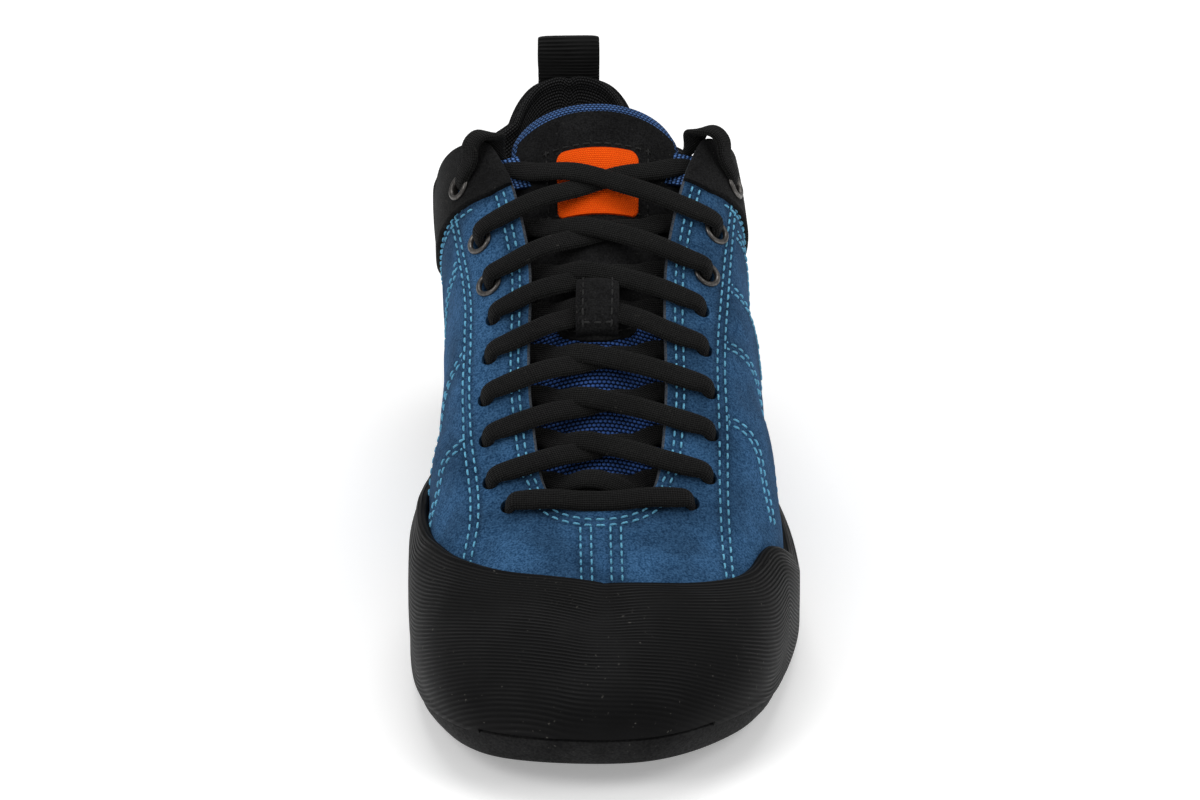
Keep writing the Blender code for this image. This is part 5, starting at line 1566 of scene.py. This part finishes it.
    def crossings(self) -> None:
        """Builds the eight crossings."""
        for index in range(len(EYELET_ROWS) - 1):
            strands = [self.strand(index, side) for side in Side]
            piece = self.ribbon(f"lace_crossing_{index + 1}", strands)
            settle(piece, "lace_black", f"lace_cross_{index + 1}")

    def bar(self) -> None:
        """Builds the straight bar between the two lowest holes."""
        along, half = EYELET_ROWS[0]
        out = 0.5 * LACE_THICK + GAP + self.lift
        side = [(half + 0.002, -self.hole_depth, 0.70, 1.1), (half, -0.0005, 0.74, 1.1),
                (half - 0.013, out, 0.88, 1.05), (half - 0.035, out + 0.0002, 1.0, 1.0)]
        middle = [(0.12, out, 1.04, 1.0), (0.06, out - 0.0010, 1.06, 1.0), (0.0, out - 0.0014, 1.06, 1.0)]
        rows = np.array(side + middle + [(-h, o, w, t) for h, o, w, t in (side + middle[:-1])[::-1]])
        along = along - self.bar_bow * np.maximum(0.0, 1 - (rows[:, 0] / 0.24) ** 2)
        facing = np.where(rows[:, 0] >= 0, 1.0, -1.0)
        base, normal = LAST.facing(along, np.abs(rows[:, 0]), facing)
        travel = np.gradient(base, axis=0)
        travel[0], travel[-1] = travel[1], travel[-2]
        across = unit(np.cross(normal, travel))
        strand = self.route(base + normal * rows[:, 1:2], across, rows[:, 2:])
        piece = self.ribbon("lace_bar_cord", [strand])
        settle(piece, "lace_black", "lace_bar")

    def ends(self) -> None:
        for side in Side:
            along, half = EYELET_ROWS[-1]
            lead = ((along - 0.001, half - 0.001, -0.0015), (along, half - 0.006, 0.0016))
            rows = np.array(lead + LACE_END_ROWS)
            base, normal = LAST.facing(rows[:, 0], rows[:, 1], side.value)
            points = base + normal * rows[:, 2:]
            travel = np.gradient(points, axis=0)
            across = unit(np.cross(normal, travel))
            across[0] = across[1]
            width = np.array([0.72, 0.80] + [1.0] * len(LACE_END_ROWS))
            shares = np.column_stack([width, 2.0 - width])
            strand = self.route(points, across, shares)
            piece = self.ribbon(f"lace_tail_{side.word}", [strand])
            settle(piece, "lace_black", f"lace_end_{side.word}")
            route = LAST.in_frame(strand[0])

    def build(self) -> None:
        """Builds the whole lace."""
        self.bar()
        self.crossings()
        self.ends()


@dataclass
class Rings:
    """The six rolled metal eyelet rings."""

    first_row: int = 6
    profile: tuple[tuple[float, float], ...] = (
        (2.45, -1.60), (2.45, -0.30), (2.62, 0.28), (3.00, 0.62), (3.45, 0.66), (3.85, 0.40), (4.05, 0.00),
        (3.95, -0.25), (3.40, -0.20), (2.90, -0.50), (2.75, -1.60))

    def build(self) -> None:
        """Turns each ring round its hole."""
        profile = np.array(self.profile) / 1000
        turns = np.linspace(0.0, FULL_TURN, 48, endpoint=False)
        for index in range(self.first_row, len(EYELET_ROWS)):
            for side in Side:
                place, share = LAST.spot(*([v] for v in EYELET_ROWS[index]), [side.value])
                out = GAP + (0.0015 if index == len(EYELET_ROWS) - 1 else 0.0)
                centre, axis = LAST.out(place, share, out)[0], LAST.normal(place, share)[0]
                first = unit(np.cross(axis, np.array([0.0, 0.0, 1.0])))
                second = np.cross(axis, first)
                arms = np.cos(turns)[:, None] * first + np.sin(turns)[:, None] * second
                sections = centre + profile[None, :, :1] * arms[:, None] + profile[None, :, 1:] * axis
                name = f"{index + 1}_{side.word}"
                settle(loft(f"ring_{name}", sections, (METAL,), wrap=True), "gunmetal", f"eyelet_{name}")


@dataclass
class Sole:
    """The studded outsole, the foam midsole with its groove and the insole."""

    steps: int = 360
    flare: float = 0.0026
    toe_flare: float = 0.0050
    lip: float = 0.0004
    stud_height: float = 0.0022
    stud_radius: float = 0.0050
    stud_pitch: float = 0.0215
    stud_start: float = 0.044
    stud_margin: float = 0.0045
    stud_flare: float = 0.0004
    stud_root: float = 0.0012
    groove: tuple[tuple[float, float], ...] = (
        (0.0, 0.0006), (0.05, 0.0), (0.30, -0.0003), (0.42, 0.0), (0.45, 0.0009), (0.50, 0.0011),
        (0.55, 0.0009), (0.58, 0.0), (0.75, 0.0), (0.95, 0.0006), (1.0, 0.0012))
    footbed: tuple[tuple[float, float], ...] = (
        (0.0066, GAP), (0.0060, 0.0030), (0.0066, 0.0054), (0.0078, 0.0056), (0.0106, 0.0046),
        (0.0156, 0.0042))

    def places(self) -> Array:
        """Places round the sole, alike on both sides."""
        return np.linspace(0.0, PLACES, self.steps, endpoint=False)

    def slab(self, name: str, rings: Sequence[tuple[Array, Array]], finish: Finish) -> Piece:
        """Makes a slab from rings, closed below and above.

        Args:
            name: The piece's name.
            rings: How far in and how high each ring is, from the bottom up.
            finish: The slab's material.

        Returns:
            The object.
        """
        place = self.places()
        rows = []
        for tuck, level in rings:
            plan = LAST.edge_point(place, -tuck)
            rows.append(np.column_stack([plan, level(plan[:, 1])]))
        sections = np.stack(rows, axis=1)
        made = loft(name, sections, (finish,), wrap=True, ring=False)
        count, height = sections.shape[:2]
        with editing(made.data) as shape:
            shape.verts.ensure_lookup_table()
            for k in (0, height - 1):
                for i in range(count // 2):
                    ends = (i, i + 1, count - i - 1, count - i)
                    corners = list(dict.fromkeys(shape.verts[(n % count) * height + k] for n in ends))
                    if len(corners) > 2:
                        shape.faces.new(corners)
            bmesh.ops.recalc_face_normals(shape, faces=shape.faces)
        shade(made.data, 35)
        return made

    def underside(self, y: Array) -> Array:
        """Height of the outsole between the studs."""
        start = self.stud_start
        return LAST.tread_level(y) + self.stud_height * smooth_step(start - 0.004, start, y)

    def outsole(self) -> None:
        """Builds the outsole with round studs behind the smooth toe."""
        place = self.places()
        share = LAST.edge_y(place)
        tuck = self.flare + (self.toe_flare - self.flare) * (1 - smooth_step(0.05, 0.30, share))

        def side(t: float, extra: float = 0.0) -> tuple[Array, Callable]:
            """A ring at a share of the edge's height."""
            inward = tuck * (1 - t) ** 1.6 + self.lip * t + extra
            return inward, lambda y: (1 - t) * (self.underside(y) + 0.0006) + t * (
                LAST.outsole_level(y) - 0.0008)

        rings = [(tuck + 0.0022, self.underside), (tuck + 0.0008, lambda y: self.underside(y) + 0.0001)]
        rings += [side(t) for t in (0.0, 0.12, 0.3, 0.5, 0.7, 0.88, 1.0)]
        rings += [(np.full_like(tuck, self.lip + 0.0005), lambda y: LAST.outsole_level(y) - 0.0002),
                  (np.full_like(tuck, self.lip + 0.0016), LAST.outsole_level)]
        piece = self.slab("outsole_tread", rings, TREAD)
        with editing(piece.data) as shape:
            for x, y in self.stud_centres():
                self.stud(shape, x, y)
        settle(piece, "outsole_rubber", "outsole")

    def stud(self, shape: bmesh.types.BMesh, x: float, y: float) -> None:
        """Adds one round stud, with a rounded lower rim, to the outsole's mesh."""
        low = float(LAST.tread_level(y))
        high = float(self.underside(y)) + self.stud_root
        made = bmesh.ops.create_cone(shape, cap_ends=True, segments=30, radius1=self.stud_radius,
                                     radius2=self.stud_radius + self.stud_flare, depth=high - low)
        centre = LAST.in_frame(np.array([x, y, 0.5 * (low + high)]))
        bmesh.ops.translate(shape, verts=made["verts"], vec=Vector(centre))
        lows = [v for v in made["verts"] if v.co.z < centre[2]]
        rims = {e for v in lows for e in v.link_edges if e.other_vert(v) in lows}
        bmesh.ops.bevel(shape, geom=list(rims), offset=0.0004, segments=2, affect="EDGES")

    def stud_centres(self) -> list[tuple[float, float]]:
        """Centres of the studs, in rows that shift by half a pitch."""
        centres = []
        first = self.stud_start + self.stud_radius
        row_pitch = self.stud_pitch * math.sqrt(3) / 2
        rows = int((SOLE_LENGTH - self.stud_radius - self.stud_margin - first) / row_pitch) + 1
        room = self.stud_margin + self.stud_radius + self.stud_flare
        places = np.linspace(0.0, HEEL, 3001)
        ahead = LAST.edge_y(places) * SOLE_LENGTH
        for row in range(rows):
            y = first + row * row_pitch
            near = y + self.stud_radius * np.array([-1.0, 0.0, 1.0])
            found = np.interp(near, ahead, places)
            right = (LAST.edge_x(found) * BALL_WIDTH).min()
            left = (-LAST.edge_x(PLACES - found) * BALL_WIDTH).min()
            for k in range(-5, 6):
                x = k * self.stud_pitch + 0.5 * self.stud_pitch * (row % 2)
                if room - left <= x <= right - room:
                    centres.append((x, y))
        return centres

    def midsole(self) -> None:
        """Builds the midsole, bare behind the rand, with one groove."""
        place = self.places()
        bare = smooth_step(0.558, 0.618, LAST.edge_y(place))
        tuck = 0.0012 + 0.0020 * (1 - bare)

        def at(t: float, extra: float) -> tuple[Array, Callable]:
            """A ring at a share of the midsole's height."""
            return tuck + extra * bare, lambda y: (1 - t) * (LAST.outsole_level(y) + GAP) + t * (
                LAST.feather_level(y) - GAP)

        piece = self.slab("midsole_foam_wedge", [at(*row) for row in self.groove], FOAM)
        settle(piece, "midsole_foam", "midsole")

    def insole(self) -> None:
        """Builds the footbed, slightly raised at its edge."""

        def at(tuck: float, rise: float) -> tuple[Array, Callable]:
            """A ring this far in and above the feather edge."""
            return np.full(self.steps, tuck), lambda y: LAST.feather_level(y) + rise

        piece = self.slab("footbed", [at(*row) for row in self.footbed], FOOTBED)
        settle(piece, "insole_foam", "insole")

    def build(self) -> None:
        """Builds the three layers."""
        self.outsole()
        self.midsole()
        self.insole()


@dataclass(frozen=True)
class Row:
    """One row of stitches: guide points of the last and the direction out of it."""

    points: Array
    normals: Array
    dark: bool = False


class Seams:
    """All rows of stitches, planned on the last and sewn on the finished pieces."""

    length: float = 0.0022
    pitch: float = 0.0031
    radius: float = 0.00031
    reach: float = 0.008
    double_gap: float = 0.0023
    throat_gaps: tuple[float, ...] = (0.0024, 0.0044)
    vamp_halves: tuple[float, ...] = (0.024, 0.050)
    inside_seam: float = 0.016
    bow: float = 0.25
    patch_margin: float = 0.030

    def __init__(self) -> None:
        """Plans every row."""
        self.rows: list[Row] = []
        self.throat_rows()
        self.long_rows()
        self.vamp_rows()
        self.side_rows()
        self.panel_rows()
        blue = [smooth_path(row.points, 0.0006) for row in self.rows if not row.dark]
        self.trough = np.concatenate(blue)
        self.dark_rows()

    def add(self, place: Array, share: Array, dark: bool = False) -> None:
        """Adds a row through places and shares of the last."""
        self.rows.append(Row(LAST.point(place, share), LAST.normal(place, share), dark))

    def add_double(self, place: Array, share: Array) -> None:
        """Adds two rows, half a gap to each side of a line on the last."""
        point, normal = LAST.point(place, share), LAST.normal(place, share)
        across = unit(np.cross(normal, np.gradient(point, axis=0)))
        for turn in (-0.5, 0.5):
            self.rows.append(Row(point + across * self.double_gap * turn, normal))

    def throat_rows(self) -> None:
        """Two rows round the throat, from one top ring down round its foot and up again."""
        for extra in self.throat_gaps:
            angles = np.linspace(0.0, 0.5 * math.pi, 9)
            centre = LAST.throat_start + LAST.throat_radius
            y = centre - (LAST.throat_radius + extra + 0.0010) * np.sin(angles)[::-1]
            wide = float(LAST.throat(0.225)) * BALL_WIDTH
            half = (wide + extra) * np.cos(angles)[::-1]
            up = np.linspace(0.250, 0.528, 24)
            along = np.concatenate([y / SOLE_LENGTH, up])
            half = np.concatenate([half, LAST.throat(up) * BALL_WIDTH + extra]) / BALL_WIDTH
            for side in Side:
                self.add(*LAST.spot(along, np.maximum(half, 0.002), side.value))

    def long_rows(self) -> None:
        """The double rows along the edges of the eyestay."""
        for side, table, start in ((Side.LATERAL, LATERAL_SEAM, 0.150), (Side.MEDIAL, MEDIAL_SEAM, 0.160)):
            along = np.linspace(start, 0.545, 30)
            half = column_curve(table, 1)(along) - self.inside_seam
            self.add_double(*LAST.spot(along, half, side.value))

    def vamp_rows(self) -> None:
        """Two double rows beside the seam down the middle of the vamp."""
        along = np.linspace(0.118, 0.184, 9)
        for side in Side:
            for half in self.vamp_halves:
                self.add(*LAST.spot(along, half, side.value))

    def side_rows(self) -> None:
        """The double rows that run from the eyestay down each side."""
        lines = (
            (Side.MEDIAL, (0.395, 0.350), (0.330, 0.030)),
            (Side.MEDIAL, (0.300, 0.346), (0.262, 0.036)),
            (Side.MEDIAL, (0.500, 0.372), (0.470, 0.034)),
            (Side.LATERAL, (0.520, 0.368), (0.520, 0.034)),
            (Side.LATERAL, (0.450, 0.348), (0.440, 0.030)),
            (Side.LATERAL, (0.385, 0.336), (0.372, 0.030)),
            (Side.LATERAL, (0.310, 0.330), (0.262, 0.042)),
        )
        for side, top, foot in lines:
            place_a, share_a = LAST.spot([top[0]], [top[1]], [side.value])
            place_b, share_b = LAST.level([foot[0]], [foot[1]], [side.value])
            run = even(16)
            bow = self.bow * side.value * np.sin(math.pi * run)
            place = place_a + (place_b - place_a) * run + bow
            share = share_a + (share_b - share_a) * run
            self.add_double(place, share)

    def panel_rows(self) -> None:
        """The double row along the front of the ankle panel."""
        for side in Side:
            place = np.linspace(LAST.place_at(0.534, side), LAST.place_at(0.72, side), 40)
            share = LAST.share_at_height(place, column_curve(BAND_ROWS, 1))
            keep = share < LAST.upper_edge(place) - 0.035
            self.add_double(place[keep], share[keep] - 0.030)

    def dark_rows(self) -> None:
        """Black rows round the patch, on the keeper and across the foot of the tongue's panel."""
        low, high = TONGUE.patch
        right = TONGUE.patch_half + self.patch_margin
        left = -right
        bottom, top = low + 0.004, high + 0.0005
        corners = [(bottom, left), (top, left), (top, right), (bottom, right), (bottom, left)]
        for (a0, h0), (a1, h1) in zip(corners, corners[1:]):
            run = even(12)
            self.on_tongue(a0 + (a1 - a0) * run, h0 + (h1 - h0) * run)
        start, end = TONGUE.keeper
        for half in (-0.036, 0.036):
            self.on_tongue(np.linspace(start + 0.004, end - 0.004, 12), np.full(12, half), 0.009)
        angles = np.linspace(0.15 * math.pi, 0.85 * math.pi, 12)
        self.on_tongue(0.385 - 0.0110 * np.sin(angles), 0.094 * np.cos(angles))

    def on_tongue(self, along: Array, half: Array, out: float = 0.003) -> None:
        """Adds a dark row on the tongue's face."""
        points = TONGUE.face(along, half, 0.0)
        normals = unit(TONGUE.face(along, half, 0.001) - points)
        self.rows.append(Row(points + normals * out, normals, True))

    def stitch(self, points: Array, normals: Array, ahead: Array) -> tuple[Array, Array]:
        """Meshes of stitches.

        Args:
            points: Their middles.
            normals: Directions out of the leather.
            ahead: Directions along the seam.

        Returns:
            Points and faces.
        """
        rings, sides = 7, 6
        t = np.linspace(-1.0, 1.0, rings)
        fat = np.sqrt(np.maximum(0.0, 1 - np.abs(t) ** 5)) * 0.9 + 0.1
        arch = self.radius * (0.55 - 1.1 * t**4)
        turns = np.linspace(0.0, FULL_TURN, sides, endpoint=False)
        across = np.cross(normals, ahead)
        body = points[:, None, None] + ahead[:, None, None] * (0.5 * self.length * t)[None, :, None, None]
        body = body + normals[:, None, None] * arch[None, :, None, None]
        spread = (self.radius * fat)[None, :, None, None]
        ring = across[:, None, None] * np.cos(turns)[None, None, :, None]
        ring = ring + normals[:, None, None] * np.sin(turns)[None, None, :, None]
        vertices = (body + spread * ring).reshape(-1, 3)
        i, k = (g.ravel() for g in np.meshgrid(np.arange(rings - 1), np.arange(sides), indexing="ij"))
        quad = np.stack([i * sides + k, i * sides + (k + 1) % sides, (i + 1) * sides + (k + 1) % sides,
                         (i + 1) * sides + k], axis=1)
        offsets = np.arange(len(points)) * rings * sides
        return vertices, (quad[None] + offsets[:, None, None]).reshape(-1, 4)

    def sew(self, dark: bool, name: str, finish: Finish, slot: str, carriers: Sequence[str]) -> None:
        """Sews all rows of one thread.

        Args:
            dark: Which thread's rows.
            name: The piece's name.
            finish: The thread.
            slot: The record's slot.
            carriers: Pieces that the stitches lie on.
        """
        graph = bpy.context.evaluated_depsgraph_get()
        trees = [BVHTree.FromObject(bpy.data.objects[carrier], graph) for carrier in carriers]
        middles, ups, aheads = [], [], []
        for row in self.rows:
            if row.dark is not dark:
                continue
            path = smooth_path(np.column_stack([row.points, row.normals]), self.pitch)
            points, normals = LAST.in_frame(path[:, :3]), unit(path[:, 3:6])
            travel = unit(np.gradient(points, axis=0))
            for point, normal, ahead in zip(points, normals, travel):
                best = None
                for tree in trees:
                    start = Vector(point + normal * self.reach)
                    hit = tree.ray_cast(start, Vector(-normal), 2 * self.reach)
                    if hit[0] is not None and (best is None or hit[3] < best[3]):
                        best = hit
                if best is not None:
                    up = unit(np.array(best[1]) if np.dot(best[1], normal) > 0 else -np.array(best[1]))
                    middles.append(np.array(best[0]))
                    ups.append(up)
                    aheads.append(unit(ahead - np.dot(ahead, up) * up))
        vertices, faces = self.stitch(np.array(middles), np.array(ups), np.array(aheads))
        mesh = bpy.data.meshes.new(name)
        mesh.from_pydata(vertices.tolist(), [], faces.tolist())
        mesh.uv_layers.new(name="cloth")
        mesh.materials.append(finish.make())
        mesh.shade_smooth()
        settle(add_object(name, mesh), slot)

    def build(self) -> None:
        """Sews the blue and the black rows."""
        self.sew(False, "stitches_blue", THREAD, "stitch_blue", ("upper_suede",))
        carriers = ("ankle_panel_nubuck", "tongue_panel", "keeper_strap")
        self.sew(True, "stitches_black", DARK_THREAD, "black_nubuck", carriers)


@dataclass
class Studio:
    """The camera, the soft lights and the pale floor."""

    target: tuple[float, float, float] = (-0.0002, -0.024, 0.058)
    distance: float = 1.2
    elevation: float = 22.14
    azimuth: float = -2.51
    lens: float = 131.5
    sky: float = 0.42
    glow: float = 0.30
    paper: tuple[float, float, float, float] = (0.93, 0.93, 0.93, 1.0)
    floor_half: float = 4.0

    def camera(self) -> None:
        """Sets the camera at the photograph's angle."""
        high, turn = math.radians(self.elevation), math.radians(self.azimuth)
        back = Vector((math.sin(turn) * math.cos(high), -math.cos(turn) * math.cos(high), math.sin(high)))
        data = bpy.data.cameras.new("camera")
        data.lens = self.lens
        data.sensor_width = 36.0
        data.clip_start = 0.01
        holder = add_object("camera", data)
        holder.location = Vector(self.target) + back * self.distance
        holder.rotation_euler = (-back).to_track_quat("-Z", "Y").to_euler()
        bpy.context.scene.camera = holder

    def light(self, name: str, place: Sequence[float], size: float, power: float) -> None:
        """Adds a soft light that faces the shoe.

        Args:
            name: Its name.
            place: Where it stands.
            size: The side of its square, in metres.
            power: Its power in watts.
        """
        data = bpy.data.lights.new(name, "AREA")
        data.size = size
        data.energy = power
        holder = add_object(name, data)
        holder.location = place
        holder.rotation_euler = (Vector(self.target) - Vector(place)).to_track_quat("-Z", "Y").to_euler()

    def build(self) -> None:
        """Sets up the whole studio."""
        self.camera()
        self.light("soft_left", (-0.9, -0.7, 1.1), 0.7, 5.5)
        self.light("soft_right", (0.9, -0.5, 1.0), 0.7, 3.5)
        self.light("soft_top", (0.0, 0.3, 1.4), 0.9, 7.5)
        world = bpy.data.worlds.new("studio")
        world.use_nodes = True
        set_inputs(world.node_tree.nodes["Background"], {"Color": WHITE, "Strength": self.sky})
        bpy.context.scene.world = world
        bpy.context.scene.view_settings.view_transform = "Standard"
        mesh = bpy.data.meshes.new("floor")
        corners = [(x * self.floor_half, y * self.floor_half, 0.0) for x, y in SQUARE]
        mesh.from_pydata(corners, [], [(0, 1, 2, 3)])
        paper = bpy.data.materials.new("paper")
        paper.use_nodes = True
        set_inputs(paper.node_tree.nodes["Principled BSDF"], {
            "Base Color": self.paper, "Roughness": 0.9, "Emission Color": WHITE,
            "Emission Strength": self.glow})
        mesh.materials.append(paper)
        add_object("floor", mesh)


TONGUE = Tongue()
SEAMS = Seams()


def main() -> None:
    """Builds the studio and every part of the shoe."""
    logging.basicConfig(level=logging.INFO, format="%(name)s %(message)s")
    for make in (make_nap, make_cells, make_braid, make_ribs, make_mottle, make_dust):
        make()
    Studio().build()
    Laces().build()
    for maker in (Sole(), Upper(), Rands(), Collar(), TONGUE, Rings(), SEAMS):
        maker.build()
        LOG.info("%s built", type(maker).__name__)


if __name__ == "__main__":
    main()
